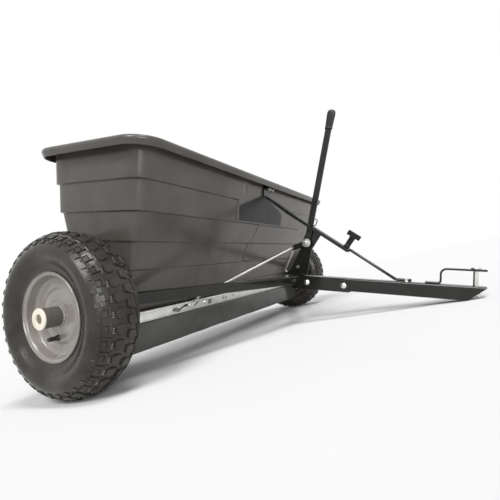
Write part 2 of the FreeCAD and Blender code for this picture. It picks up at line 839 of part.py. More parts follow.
def closure_slide():
    """The plate with its row of openings that slides under the hopper, and its upright front lip."""
    body = new_body("closure_slide")
    plate = new_sketch(body, "XY_Plane", slide_low)
    right = -end_plate_outer - s.slide_past_plate
    left = end_plate_outer - s.slide_short_of_plate
    box_outline(plate, right, left, -s.slide_front, s.slide_rear)
    pad(body, plate, s.slide_gauge)
    lip = new_sketch(body, "XY_Plane", slide_low)
    box_outline(lip, right, left, -s.slide_front, s.slide_gauge - s.slide_front)
    pad(body, lip, s.slide_lip)
    opening = new_sketch(body, "XY_Plane", slide_low)
    start = -s.outlet_pitch * s.outlet_count / 2
    box_outline(opening, start - s.outlet_length / 2, start + s.outlet_length / 2,
                -s.outlet_width / 2, s.outlet_width / 2)
    hole = pocket(body, opening, s.slide_gauge, reverse=True)
    pattern(body, hole, s.outlet_count, s.outlet_pitch)
    place(body)


def slide_lug():
    """The small plate on the slide's lip that the link rod pulls on."""
    body = new_body("slide_lug")
    face = new_sketch(body, "XY_Plane", slide_low + s.slide_lip)
    half = s.lug_length / 2
    box_outline(face, -s.lug_place - half, half - s.lug_place, -s.slide_front - s.lug_reach,
                s.slide_gauge - s.slide_front)
    pad(body, face, s.plate_gauge)
    place(body)


def link_rod():
    """The rod from the lever's arm down to the closure slide."""
    radius = s.link_diameter / 2
    seat = slide_low + s.slide_lip + s.plate_gauge + radius + s.fit_gap
    lug = Vector(*[float(c) for c in (-s.lug_place, -s.slide_front - s.lug_reach / 2, seat)])
    beside = -s.lever_gauge / 2 - s.arm_gauge - radius - s.link_gap
    arm = Vector(*[float(c) for c in (beside, s.arm_reach - s.pivot_forward, s.pivot_height - s.arm_drop)])
    length = (arm - lug).Length
    body = turned("link_rod", [(0, 0), (length, 0), (length, radius), (0, radius)])
    place(body, lug, Rotation(Vector(1, 0, 0), arm - lug))


# ---------------------------------------------------------------- axle and wheels

def axle():
    radius = s.axle_diameter / 2
    reach = track_half + s.hub_outer_reach
    body = turned("axle", [(-reach, 0), (reach, 0), (reach, radius), (-reach, radius)])
    place(body, (0, 0, axle_height))


def axle_bearing(label, side):
    inner = side * end_plate_outer
    outer = side * (end_plate_outer + s.bearing_depth)
    bore = s.axle_diameter / 2 + s.running_gap
    body = turned(label, [(inner, bore), (outer, bore), (outer, s.bearing_diameter / 2),
                          (inner, s.bearing_diameter / 2)])
    place(body, (0, 0, axle_height))


def agitator():
    """The row of two-ended blades on the axle, one above each outlet."""
    body = new_body("agitator")
    body.AllowCompound = True
    blade = new_sketch(body, "YZ_Plane", -s.outlet_pitch * (s.outlet_count - 1) / 2)
    half = s.agitator_half_width
    round_box_outline(blade, -half, half, -s.agitator_radius, s.agitator_radius, s.agitator_corner)
    circle_outline(blade, 0, 0, s.axle_diameter / 2)
    pattern(body, pad(body, blade, s.agitator_blade, midplane=True), s.outlet_count, s.outlet_pitch)
    place(body, (0, 0, axle_height))


def wheel(label, side, driven):
    """One wheel: the tyre, its pressed rim, its hub and its valve; the free wheel turns on a bush."""
    middle = (side * track_half, 0, axle_height)
    facing = Rotation() if side > 0 else Rotation(Vector(0, 0, 1), 180)
    tyre = new_body(f"{label}_tyre")
    seat = s.rim_radius - s.rim_lip_height
    tread = new_sketch(tyre, "XY_Plane")
    low = s.rim_radius + s.tyre_bead_gap
    round_box_outline(tread, -s.tyre_width / 2, s.tyre_width / 2, low, s.tyre_diameter / 2, s.tyre_shoulder)
    spin(tyre, tread)
    bead = new_sketch(tyre, "XY_Plane")
    inside = s.rim_half_width - s.rim_gauge
    box_outline(bead, -inside, inside, seat, low + s.tyre_bead_height)
    spin(tyre, bead)
    place(tyre, middle, facing)

    gauge = s.rim_gauge
    hub = s.hub_diameter / 2
    disc = s.disc_offset
    half = s.rim_half_width
    rim = turned(f"{label}_rim", [
        (-half, seat - gauge), (disc, seat - gauge), (disc, hub), (disc + gauge, hub),
        (disc + gauge, seat - gauge), (half, seat - gauge), (half, s.rim_radius),
        (half - gauge, s.rim_radius), (half - gauge, seat), (gauge - half, seat),
        (gauge - half, s.rim_radius), (-half, s.rim_radius)])
    place(rim, middle, facing)

    bore = s.axle_diameter / 2 if driven else s.bush_diameter / 2
    end = s.hub_outer_reach
    tube = turned(f"{label}_hub", [(-s.hub_inner_reach, bore), (end, bore), (end, hub),
                                   (-s.hub_inner_reach, hub)])
    place(tube, middle, facing)

    clear = s.axle_diameter / 2 + (0 if driven else s.running_gap)
    flange = s.bush_flange_diameter / 2
    lip = end + s.bush_flange
    profile = [(end, clear), (lip, clear), (lip, flange), (end, flange)]
    if not driven:
        profile = [(-s.hub_inner_reach, clear), (lip, clear), (lip, flange), (end, flange),
                   (end, bore), (-s.hub_inner_reach, bore)]
    place(turned(f"{label}_bush", profile), middle, facing)

    valve = turned(f"{label}_valve", [(0, 0), (s.valve_length, 0), (s.valve_length, s.valve_diameter / 4),
                                      (s.valve_collar, s.valve_diameter / 2), (0, s.valve_diameter / 2)])
    stem = (side * (track_half + disc + gauge), 0, axle_height - s.valve_radius_place)
    place(valve, stem, facing)


control_tab_forward = s.hopper_front + s.fit_gap + s.control_gauge
slide_low = s.hopper_bottom - s.slide_gap - s.slide_gauge
nose_corner = s.nose_slope_run - s.tongue_nose
bracket_inner = s.lever_gauge / 2 + s.lever_gap
right_across = track_half * 2
UPRIGHT = Rotation(Vector(0, 1, 0), -90)
LEANED = Rotation(Vector(1, 0, 0), float(s.lever_lean))


def build():
    hopper()
    for side, name in ((1, "left"), (-1, "right")):
        end_plate(f"end_plate_{name}", side)
        frame_rail(f"frame_rail_{name}", side)
        axle_bearing(f"axle_bearing_{name}", side)
        wheel(name, side, driven=side > 0)
    deflector("front_deflector", -1)
    deflector("rear_deflector", 1)
    tongue()
    hitch_bracket()
    hitch_strap()
    hitch_pin()
    hair_pin()
    lever_bracket()
    pivot_bolt()
    control_lever()
    lever_grip()
    control_strap()
    strap_brace()
    lever_catch()
    bracket_stay()
    stop_knob()
    closure_slide()
    slide_lug()
    link_rod()
    axle()
    agitator()


def park():
    """Turn every piece nose-down about the axle until the nose touches, and centre the whole."""
    drop = float(axle_height - s.tongue_top + s.tongue_height)
    reach = -float(nose_corner)
    far = math.hypot(drop, reach)
    nose_down = math.asin(float(axle_height) / far) - math.atan2(drop, reach)
    turn = Rotation(Vector(1, 0, 0), math.degrees(nose_down))
    about_axle = Placement(Vector(), turn, Vector(0, 0, float(axle_height)))
    whole = FreeCAD.BoundBox()
    for piece in PIECES:
        piece.Placement = about_axle * piece.Placement
        shape = piece.Shape.copy()
        whole.add(shape.optimalBoundingBox(False, False))
    shift = Placement(Vector(-whole.Center.x, -whole.Center.y, -whole.ZMin), Rotation())
    for piece in PIECES:
        piece.Placement = shift * piece.Placement
    print("nose down", math.degrees(nose_down), "shift", shift.Base)


def write():
    failed = [item.Name for item in doc.Objects if {"Invalid", "Error"} & set(item.State)]
    for piece in PIECES:
        if piece.Shape.isNull() or not piece.Shape.isValid():
            failed.append(piece.Label)
    if failed:
        raise SystemExit("these objects failed: " + ", ".join(failed))
    os.makedirs("parts", exist_ok=True)
    for piece in PIECES:
        piece.Shape.exportStep(os.path.join("parts", piece.Label + ".step"))
    print(len(PIECES), "pieces written")


build()
doc.recompute()
park()
write()
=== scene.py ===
"""Looks of a tow-behind drop spreader, built around its packed construction model.

Every shape is worked out in the level frame, in millimetres: X across the machine, the tongue
towards -Y, Z up, the floor at Z = 0 and the wheel axle along X at Y = 0. The Stance class then
turns it nose-down about the axle and sets it on the floor, which is how the machine is parked.
"""

from __future__ import annotations

import json
import logging
import math
from dataclasses import dataclass
from enum import Enum
from typing import Iterable, Sequence

import bmesh
import bpy
import numpy as np
from mathutils import Matrix

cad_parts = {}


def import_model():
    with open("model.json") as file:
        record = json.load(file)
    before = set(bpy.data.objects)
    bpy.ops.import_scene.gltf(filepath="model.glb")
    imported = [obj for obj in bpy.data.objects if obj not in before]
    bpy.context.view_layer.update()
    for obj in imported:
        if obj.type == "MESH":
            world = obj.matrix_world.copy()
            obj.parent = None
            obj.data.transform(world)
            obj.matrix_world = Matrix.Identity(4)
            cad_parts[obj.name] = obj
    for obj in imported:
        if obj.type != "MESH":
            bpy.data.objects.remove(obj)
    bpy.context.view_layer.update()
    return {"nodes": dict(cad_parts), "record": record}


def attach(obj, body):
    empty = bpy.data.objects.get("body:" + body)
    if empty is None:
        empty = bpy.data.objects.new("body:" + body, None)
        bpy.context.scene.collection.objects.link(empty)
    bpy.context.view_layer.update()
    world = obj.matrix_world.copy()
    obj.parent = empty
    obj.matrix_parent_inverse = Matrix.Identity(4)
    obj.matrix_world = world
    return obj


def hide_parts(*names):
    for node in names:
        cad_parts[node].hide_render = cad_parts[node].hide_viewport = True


LOG = logging.getLogger("drop_spreader")
MM = 0.001
ROUND = 2 * math.pi
WELD = 1e-6
AXLE_HEIGHT = 171.0
AXLE_RADIUS = 9.5
TONGUE_TOP = 224.0
CREASE = 32.0

Spot = tuple[float, float]
Corner = tuple[float, float, float]
Place = tuple[float, float, float]
Colour = tuple[float, float, float]
Socket = bpy.types.NodeSocket


class Plane(Enum):
    """The plane that a flat outline is drawn in, by the axis that it is pushed along."""

    SIDE = "x"
    FRONT = "y"
    FLOOR = "z"


class Body(Enum):
    """The bodies of the construction model that pieces ride on."""

    FRAME = "frame"
    AXLE = "axle_drive"
    FREE_WHEEL = "free_wheel"
    LEVER = "lever"
    CLOSURE = "closure"
    LINK = "link"


@dataclass(frozen=True)
class Stance:
    """How the machine stands: its lean about the axle and the axle's place, in metres."""

    lean: float
    axle_y: float
    axle_z: float

    @classmethod
    def from_record(cls, record: dict) -> "Stance":
        """Read the lean and the axle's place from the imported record's joints.

        Args:
            record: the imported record.

        Returns:
            The stance of the parked machine.
        """
        joints = {joint["name"]: joint for joint in record["behaviour"]["joints"]}
        forward = joints["link_swing"]["axis"]
        _, axle_y, axle_z = joints["axle_turn"]["pos_m"]
        return cls(math.atan2(-forward[2], -forward[1]), axle_y, axle_z)

    def turned(self, ways: np.ndarray) -> np.ndarray:
        """Turn level directions nose-down: y' = y cos a - z sin a and z' = y sin a + z cos a.

        Args:
            ways: directions or places, with X, Y and Z last.

        Returns:
            The turned ones.
        """
        c, s = math.cos(self.lean), math.sin(self.lean)
        y, z = ways[..., 1], ways[..., 2]
        return np.stack([ways[..., 0], y * c - z * s, y * s + z * c], axis=-1)

    def parked(self, points: np.ndarray) -> np.ndarray:
        """Turn level points in millimetres about the axle into the parked frame, in metres."""
        axle = np.array([0.0, 0.0, self.axle_z / MM])
        return self.turned(points - axle) * MM + np.array([0.0, self.axle_y, self.axle_z])


def unit(ways: np.ndarray) -> np.ndarray:
    """Directions brought to a length of 1: w / |w|."""
    return ways / np.linalg.norm(ways, axis=-1, keepdims=True)


@dataclass
class Solid:
    """Points of the level frame, in millimetres, and the faces that join them."""

    points: np.ndarray
    faces: list[Sequence[int]]

    def moved(self, x: float = 0.0, y: float = 0.0, z: float = 0.0) -> "Solid":
        """The same solid, moved."""
        return Solid(self.points + np.array([x, y, z]), self.faces)

    def tipped(self, degrees: float, axis: str = "x") -> "Solid":
        """The same solid, turned about an axis through the level frame's origin.

        Args:
            degrees: how far, right-handed.
            axis: the letter of the axis.

        Returns:
            The turned solid.
        """
        turn = np.array(Matrix.Rotation(math.radians(degrees), 3, axis.upper()))
        return Solid(self.points @ turn.T, self.faces)

    def aimed(self, base: Place, tip: Place) -> "Solid":
        """The same solid with its X axis laid along a line.

        Args:
            base: where the solid's origin goes.
            tip: a point further along the line.

        Returns:
            The turned and moved solid.
        """
        along = unit(np.array(tip, float) - np.array(base, float))
        upright = abs(along[2]) >= 0.9
        side = unit(np.cross([1.0, 0.0, 0.0] if upright else [0.0, 0.0, 1.0], along))
        basis = np.stack([along, side, np.cross(along, side)])
        return Solid(self.points @ basis + np.array(base, float), self.faces)


def joined(solids: Iterable[Solid]) -> Solid:
    """Put solids side by side in one, each with its own points and faces.

    Args:
        solids: the solids to put together.

    Returns:
        All of them as one solid.
    """
    points: list[np.ndarray] = []
    faces: list[Sequence[int]] = []
    start = 0
    for solid in solids:
        points.append(solid.points)
        faces.extend([[start + corner for corner in face] for face in solid.faces])
        start += len(solid.points)
    return Solid(np.concatenate(points), faces)


def skin(grid: np.ndarray, close_rows: bool = False, close_steps: bool = True) -> Solid:
    """A surface through a grid of points: face (i, j) joins rows i and i+1 at steps j and j+1.

    Args:
        grid: points as rows x steps x 3.
        close_rows: whether the last row joins the first.
        close_steps: whether the last step joins the first.

    Returns:
        The surface.
    """
    rows, steps = grid.shape[:2]
    row = np.arange(rows if close_rows else rows - 1)[:, None]
    step = np.arange(steps if close_steps else steps - 1)[None, :]
    next_row, next_step = (row + 1) % rows, (step + 1) % steps
    corners = np.broadcast_arrays(row * steps + step, row * steps + next_step,
                                  next_row * steps + next_step, next_row * steps + step)
    return Solid(grid.reshape(-1, 3), np.stack(corners, axis=-1).reshape(-1, 4).tolist())


def rounded(corners: Sequence[Corner], steps: int = 6, closed: bool = True) -> np.ndarray:
    """An outline with its corners rounded, each by an arc that touches both of its edges.

    An arc's centre lies on the corner's bisector at radius / sin(half the corner's angle), and its
    points turn evenly from one touching point to the other.

    Args:
        corners: (across, up, radius) of each corner.
        steps: points on each arc.
        closed: whether the outline returns to its start; an open one keeps its ends sharp.

    Returns:
        The outline's points, as n x 2.
    """
    data = np.array(corners, float)
    here, radius = data[:, :2], data[:, 2:]
    back = unit(np.roll(here, 1, axis=0) - here)
    ahead = unit(np.roll(here, -1, axis=0) - here)
    half = np.arccos(np.clip((back * ahead).sum(1, keepdims=True), -1, 1)) / 2
    bisector = back + ahead
    bisector /= np.maximum(np.linalg.norm(bisector, axis=1, keepdims=True), 1e-9)
    centre = here + bisector * radius / np.sin(half)
    first = here + back * radius / np.tan(half) - centre
    last = here + ahead * radius / np.tan(half) - centre
    turn = np.maximum(math.pi - 2 * half, 1e-6)[:, :, None]
    share = np.linspace(0, 1, steps)[None, :, None]
    arc = np.sin((1 - share) * turn) * first[:, None] + np.sin(share * turn) * last[:, None]
    points = centre[:, None] + arc / np.sin(turn)
    if closed:
        return points.reshape(-1, 2)
    return np.concatenate([here[:1], points[1:-1].reshape(-1, 2), here[-1:]])


def rounded_box(low: Spot, high: Spot, radius: float, steps: int = 4) -> np.ndarray:
    """A rectangle's outline between two opposite corners, with every corner rounded alike.

    Args:
        low: the lower left corner.
        high: the upper right corner.
        radius: every corner's radius.
        steps: points on each arc.

    Returns:
        The outline's points, as n x 2.
    """
    (left, foot), (right, top) = low, high
    corners = ((left, foot), (right, foot), (right, top), (left, top))
    return rounded([(across, up, radius) for across, up in corners], steps)


def band(middle: np.ndarray, gauge: float) -> np.ndarray:
    """A closed outline of even thickness about an open line: the line moved half a gauge each way.

    Args:
        middle: the open line's points, as n x 2.
        gauge: the thickness.

    Returns:
        The closed outline.
    """
    along = unit(np.gradient(middle, axis=0))
    normal = np.stack([-along[:, 1], along[:, 0]], axis=1) * gauge / 2
    return np.concatenate([middle + normal, (middle - normal)[::-1]])


def prism(outline: np.ndarray, low: float, high: float, plane: Plane = Plane.SIDE) -> Solid:
    """A flat outline pushed along the axis that its plane names, closed by a face at each end.

    Args:
        outline: the closed outline's points, as n x 2.
        low: where the push starts.
        high: where it ends.
        plane: the plane of the outline.

    Returns:
        The solid.
    """
    count = len(outline)
    level = np.repeat([low, high], count)
    across, up = np.tile(outline[:, 0], 2), np.tile(outline[:, 1], 2)
    order = {Plane.SIDE: (level, across, up), Plane.FRONT: (across, level, up),
             Plane.FLOOR: (across, up, level)}[plane]
    points = np.stack(order, axis=1)
    sides = skin(points.reshape(2, count, 3)).faces
    return Solid(points, sides + [list(range(count))[::-1], list(range(count, 2 * count))])


def box(low: Place, high: Place) -> Solid:
    """A box between two opposite corners."""
    outline = np.array([(low[1], low[2]), (high[1], low[2]), (high[1], high[2]), (low[1], high[2])])
    return prism(outline, low[0], high[0])


def capped(grid: np.ndarray) -> Solid:
    """The surface through a grid of closed sections, with a face across the first and the last.

    Args:
        grid: the sections' points, as sections x points x 3.

    Returns:
        The closed solid.
    """
    sides, count = skin(grid), grid.shape[1]
    last = len(sides.points) - count
    return Solid(sides.points, sides.faces + [list(range(count)), list(range(last, last + count))])


def about_x(along: np.ndarray, radius: np.ndarray, angle: np.ndarray) -> np.ndarray:
    """Points about X at a place along it: y = radius cos t and z = radius sin t."""
    return np.stack(np.broadcast_arrays(along, radius * np.cos(angle), radius * np.sin(angle)), axis=-1)


def turned(profile: Sequence[Spot] | np.ndarray, steps: int = 48, closed: bool = False) -> Solid:
    """A profile of (place along X, radius) turned about X.

    Args:
        profile: the profile's points; an open one starts and ends at radius 0.
        steps: steps round the axis.
        closed: whether the profile is a ring in itself.

    Returns:
        The turned solid.
    """
    data = np.asarray(profile, float)
    angle = np.linspace(0, ROUND, steps, endpoint=False)
    return skin(about_x(data[:, :1], data[:, 1:], angle), close_rows=closed)


def rod(path: np.ndarray, radius: float, across: Place = (1, 0, 0), steps: int = 16) -> Solid:
    """A round rod: a circle carried along a path, drawn in to a rounded point at each end.

    The circle's first axis is the part of the given direction that is square to the path, and the
    second is square to both.

    Args:
        path: the path's points, as n x 3.
        radius: the rod's radius.
        across: a direction that the path never runs along.
        steps: steps round the rod.

    Returns:
        The rod.
    """
    along = unit(np.gradient(path, axis=0))
    cap = np.array([0.0, 0.55, 0.85, 1.0])
    inset = radius * 0.5 * np.array([0.0, 0.12, 0.45, 1.0])
    head = path[:1] + along[:1] * inset[:, None]
    tail = path[-1:] - along[-1:] * inset[::-1, None]
    line = np.concatenate([head, path[1:-1], tail])
    size = np.concatenate([cap, np.ones(len(path) - 2), cap[::-1]]) * radius
    way = np.concatenate([np.repeat(along[:1], 4, 0), along[1:-1], np.repeat(along[-1:], 4, 0)])
    aside = np.array(across, float)
    first = unit(aside - (way @ aside)[:, None] * way)
    second = np.cross(way, first)
    angle = np.linspace(0, ROUND, steps, endpoint=False)[None, :, None]
    circle = np.cos(angle) * first[:, None] + np.sin(angle) * second[:, None]
    return skin(line[:, None] + circle * size[:, None, None])


def bent(corners: Sequence[Corner], x: float, steps: int = 8) -> np.ndarray:
    """A path in a plane square to X through rounded corners of (y, z, radius)."""
    flat = rounded(corners, steps, closed=False)
    return np.column_stack([np.full(len(flat), x), flat])


def hexagon_head(across: float, height: float) -> Solid:
    """A six-sided bolt head or nut that stands along X from 0, with its top edge taken off.

    Args:
        across: the width across its flats.
        height: how far it stands up.

    Returns:
        The head.
    """
    radius = across / math.sqrt(3)
    shoulder, crown = height * 0.82, radius * 0.86
    return turned([(0, 0), (0, radius), (shoulder, radius), (height, crown), (height, 0)], 6)


def domed_head(radius: float, height: float) -> Solid:
    """A round bolt head that stands along X from 0: at a share s of its radius it stands
    height (0.3 + 0.7 cos(90 s)) high, with the angle in degrees.

    Args:
        radius: the head's radius.
        height: its height at the middle.

    Returns:
        The head.
    """
    share = np.linspace(1, 0, 8)
    dome = np.column_stack([height * (0.3 + 0.7 * np.cos(share * math.pi / 2)), radius * share])
    return turned(np.concatenate([[(0, 0), (0, radius)], dome]), 24)


def washer(radius: float, bore: float, gauge: float) -> Solid:
    """A flat ring about X from 0, with its outer edges rounded.

    Args:
        radius: the outer radius.
        bore: the hole's radius.
        gauge: the thickness.

    Returns:
        The ring.
    """
    edge = gauge * 0.3
    ring = [(0, bore), (gauge, bore), (gauge, radius - edge), (gauge - edge, radius), (edge, radius),
            (0, radius - edge)]
    return turned(ring, 40, closed=True)


def nut(across: float, height: float, radius: float, bore: float, gauge: float) -> Solid:
    """A six-sided nut or head on its washer, standing along X from 0.

    Args:
        across: the nut's width across its flats.
        height: the nut's height.
        radius: the washer's radius.
        bore: the radius of the washer's hole.
        gauge: the washer's thickness.

    Returns:
        The nut and its washer.
    """
    return joined([washer(radius, bore, gauge), hexagon_head(across, height).moved(x=gauge)])


def stud(radius: float, length: float, chamfer: float = 0.0) -> Solid:
    """A round stud that stands along X from 0, with the edge of its far end broken."""
    edge = [(length - chamfer, radius), (length, radius - chamfer)] if chamfer else [(length, radius)]
    return turned([(0, 0), (0, radius), *edge, (length, 0)], 24)


class Graph:
    """A material's node tree, with short calls for the nodes that the finishes share."""

    def __init__(self, name: str) -> None:
        """Start an empty material with its shader.

        Args:
            name: the material's name.
        """
        self.material = bpy.data.materials.new(name)
        self.material.use_nodes = True
        self.tree = self.material.node_tree
        self.shader = self.tree.nodes["Principled BSDF"]

    def new(self, kind: str, **settings: object) -> bpy.types.Node:
        """Add a node and set its own properties.

        Args:
            kind: the node's type.
            settings: its own properties, by name.

        Returns:
            The node.
        """
        node = self.tree.nodes.new(kind)
        for name, value in settings.items():
            setattr(node, name, value)
        return node

    def feed(self, socket: Socket, value: object) -> None:
        """Link a socket to another one, or set it where the value is plain.

        Args:
            socket: the socket to feed.
            value: another socket, a number or a colour.
        """
        if isinstance(value, Socket):
            self.tree.links.new(value, socket)
        else:
            socket.default_value = value

    def place(self) -> Socket:
        """The object's own coordinates."""
        return self.new("ShaderNodeTexCoord").outputs["Object"]

    def texture(self, kind: str, where: Socket, **inputs: float) -> bpy.types.Node:
        """Add a texture node that reads the given coordinates, with its numbers set by name.

        Args:
            kind: the node's type.
            where: the coordinates.
            inputs: its numbers, by the socket's name.

        Returns:
            The node.
        """
        node = self.new(kind)
        self.feed(node.inputs["Vector"], where)
        for name, value in inputs.items():
            node.inputs[name].default_value = value
        return node

    def noise(self, where: Socket, scale: float, detail: float) -> Socket:
        """A cloudy value, with cells of about one over the scale in metres."""
        return self.texture("ShaderNodeTexNoise", where, Scale=scale, Detail=detail).outputs["Fac"]

    def cells(self, where: Socket, scale: float) -> Socket:
        """A grey value for each cell of a broken pattern, such as the spangle on zinc.

        Args:
            where: the coordinates.
            scale: about how many cells lie in a metre.

        Returns:
            The cells' values.
        """
        node = self.texture("ShaderNodeTexVoronoi", where, Scale=scale)
        split = self.new("ShaderNodeSeparateColor")
        self.feed(split.inputs["Color"], node.outputs["Color"])
        return split.outputs["Red"]

    def ramp(self, value: Socket, low: float, high: float, first: float, last: float) -> Socket:
        """Spread the part of a value between low and high over first to last.

        Args:
            value: the value.
            low: where the part starts.
            high: where it ends.
            first: what low becomes.
            last: what high becomes.

        Returns:
            The spread value.
        """
        node = self.new("ShaderNodeMapRange")
        for name, number in (("From Min", low), ("From Max", high), ("To Min", first), ("To Max", last)):
            node.inputs[name].default_value = number
        self.feed(node.inputs["Value"], value)
        return node.outputs["Result"]

    def blend(self, share: Socket, first: object, last: object) -> Socket:
        """Mix two colours by a share from 0 to 1.

        Args:
            share: 0 for the first colour and 1 for the last.
            first: the first colour.
            last: the last colour.

        Returns:
            The mixed colour.
        """
        node = self.new("ShaderNodeMix", data_type="RGBA")
        self.feed(node.inputs[0], share)
        self.feed(node.inputs[6], first)
        self.feed(node.inputs[7], last)
        return node.outputs[2]

    def bump(self, height: Socket, depth: float, under: Socket | None = None) -> Socket:
        """Raise the surface by a height of up to depth metres, over another bump where one is given.

        Args:
            height: the height, from 0 to 1.
            depth: what a height of 1 stands for, in metres.
            under: the bump below this one, if there is one.

        Returns:
            The surface's bent direction.
        """
        node = self.new("ShaderNodeBump")
        node.inputs["Strength"].default_value = 1.0
        node.inputs["Distance"].default_value = depth
        self.feed(node.inputs["Height"], height)
        if under is not None:
            self.feed(node.inputs["Normal"], under)
        return node.outputs["Normal"]

    def finish(self, **sockets: object) -> bpy.types.Material:
        """Set the shader's sockets, named with underscores for spaces, and hand over the material.

        Args:
            sockets: values and links, by the socket's name.

        Returns:
            The material.
        """
        for name, value in sockets.items():
            self.feed(self.shader.inputs[name.replace("_", " ")], value)
        return self.material


def opaque(colour: Colour) -> tuple[float, float, float, float]:
    """A colour with full cover."""
    return (*colour, 1.0)


@dataclass(frozen=True)
class Finish:
    """A finish: its name, the record's slot, its two tones and the bounds of its roughness.

    The tones lie in clouds and the roughness in a haze, each with so many cells to the metre.
    """

    name: str
    slot: str
    dark: Colour
    light: Colour
    rough: tuple[float, float]
    cloud: float = 35.0
    haze: float = 40.0

    def tone(self, graph: Graph, where: Socket) -> Socket:
        """The colour: clouds of the two tones."""
        share = graph.ramp(graph.noise(where, self.cloud, 5), 0.35, 0.65, 0, 1)
        return graph.blend(share, opaque(self.dark), opaque(self.light))

    def sheen(self, graph: Graph, where: Socket) -> Socket:
        """The roughness: a haze between the finish's two values."""
        return graph.ramp(graph.noise(where, self.haze, 4), 0.3, 0.7, *self.rough)

    def sockets(self, graph: Graph, where: Socket) -> dict[str, object]:
        """What the shader's sockets are fed or set to.

        Args:
            graph: the material's node tree.
            where: the object's own coordinates.

        Returns:
            Values and links, by the socket's name.
        """
        raise NotImplementedError

    def material(self) -> bpy.types.Material:
        """Build the material."""
        graph = Graph(self.name)
        return graph.finish(**self.sockets(graph, graph.place()))


@dataclass(frozen=True)
class MouldedPlastic(Finish):
    """Moulded plastic: a slow waviness of the wall under a fine grain."""

    cloud: float = 14.0
    haze: float = 30.0
    grain: float = 700.0
    grain_depth: float = 0.00010
    wave: float = 9.0
    wave_depth: float = 0.0012
    specular: float = 0.22

    def sockets(self, graph: Graph, where: Socket) -> dict[str, object]:
        """Cloudy tone and sheen over the wave and the grain.

        Args:
            graph: the material's node tree.
            where: the object's own coordinates.

        Returns:
            Values and links, by the socket's name.
        """
        wave = graph.bump(graph.noise(where, self.wave, 2), self.wave_depth)
        grain = graph.bump(graph.noise(where, self.grain, 2), self.grain_depth, under=wave)
        return {"Base_Color": self.tone(graph, where), "Roughness": self.sheen(graph, where),
                "Specular_IOR_Level": self.specular, "Normal": grain}


@dataclass(frozen=True)
class Rubber(Finish):
    """Rubber: a dusty bloom over black and a fine pitted skin."""

    cloud: float = 22.0
    haze: float = 60.0
    pits: float = 420.0
    pit_depth: float = 0.00018
    swell: float = 45.0
    swell_depth: float = 0.0004
    specular: float = 0.3

    def sockets(self, graph: Graph, where: Socket) -> dict[str, object]:
        """Cloudy tone and sheen over the pits and a soft unevenness.

        Args:
            graph: the material's node tree.
            where: the object's own coordinates.

        Returns:
            Values and links, by the socket's name.
        """
        pits = graph.bump(graph.noise(where, self.pits, 3), self.pit_depth)
        soft = graph.bump(graph.noise(where, self.swell, 2), self.swell_depth, under=pits)
        return {"Base_Color": self.tone(graph, where), "Roughness": self.sheen(graph, where),
                "Specular_IOR_Level": self.specular, "Normal": soft}


@dataclass(frozen=True)
class Paint(Finish):
    """Paint on steel: a glossy skin with orange peel, a little dust in its sheen and perhaps a coat."""

    cloud: float = 18.0
    peel: float = 230.0
    peel_depth: float = 0.00005
    specular: float = 0.25
    coat: float = 0.0
    coat_rough: float = 0.1

    def sockets(self, graph: Graph, where: Socket) -> dict[str, object]:
        """Cloudy tone and sheen under the coat, over the orange peel.

        Args:
            graph: the material's node tree.
            where: the object's own coordinates.

        Returns:
            Values and links, by the socket's name.
        """
        peel = graph.bump(graph.noise(where, self.peel, 2), self.peel_depth)
        return {"Base_Color": self.tone(graph, where), "Roughness": self.sheen(graph, where),
                "Specular_IOR_Level": self.specular, "Coat_Weight": self.coat,
                "Coat_Roughness": self.coat_rough, "Normal": peel}


@dataclass(frozen=True)
class Plating(Finish):
    """Plated or bare metal: a spangled, cloudy tone and small dents in the reflection."""

    spangle: float = 160.0
    fleck: float = 0.35
    dents: float = 90.0
    dent_depth: float = 0.00008

    def sockets(self, graph: Graph, where: Socket) -> dict[str, object]:
        """A cloudy tone flecked with the lighter one, and a sheen that follows the same clouds.

        Args:
            graph: the material's node tree.
            where: the object's own coordinates.

        Returns:
            Values and links, by the socket's name.
        """
        cells = graph.cells(where, self.spangle)
        cloud = graph.noise(where, self.cloud, 4)
        light = opaque(self.light)
        tone = graph.blend(graph.ramp(cloud, 0.3, 0.7, 0, 1), opaque(self.dark), light)
        flecked = graph.blend(graph.ramp(cells, 0, 1, 0, self.fleck), tone, light)
        dents = graph.bump(graph.noise(where, self.dents, 2), self.dent_depth)
        return {"Base_Color": flecked, "Roughness": graph.ramp(cloud, 0.3, 0.7, *self.rough),
                "Metallic": 1.0, "Normal": dents}


HOPPER_PLASTIC = MouldedPlastic("hopper_plastic", "hopper_poly", (0.061, 0.0558, 0.050),
                                (0.077, 0.0705, 0.0632), (0.16, 0.24), specular=0.38)
PANEL_FILM = MouldedPlastic("panel_film", "hopper_poly", (0.010, 0.0095, 0.009), (0.014, 0.0135, 0.013),
                            (0.34, 0.42), grain=300.0, grain_depth=0.00003)
TYRE_RUBBER = Rubber("tyre_rubber", "tyre_rubber", (0.021, 0.0193, 0.0162), (0.038, 0.0348, 0.0297),
                     (0.18, 0.30))
# Painted highlight: pale rubber on the tread's small ridges stands in for light caught on them.
HIGHLIGHT_TICK_RUBBER = Rubber("tick_rubber", "tyre_rubber", (0.30, 0.29, 0.27), (0.45, 0.44, 0.41), (0.5, 0.6))
VALVE_RUBBER = Rubber("valve_rubber", "valve_rubber", (0.026, 0.024, 0.021), (0.045, 0.042, 0.038),
                      (0.25, 0.38))
GRIP_VINYL = Rubber("grip_vinyl", "grip_vinyl", (0.010, 0.010, 0.0095), (0.017, 0.016, 0.015), (0.38, 0.46),
                    pits=260.0, pit_depth=0.0001)
RIM_PAINT = Paint("rim_paint", "rim_paint", (0.195, 0.180, 0.160), (0.235, 0.218, 0.196), (0.18, 0.28),
                  specular=0.5, coat=0.5, coat_rough=0.06)
HUB_PAINT = Paint("hub_paint", "rim_paint", (0.085, 0.078, 0.068), (0.11, 0.10, 0.088), (0.24, 0.34),
                  specular=0.4)
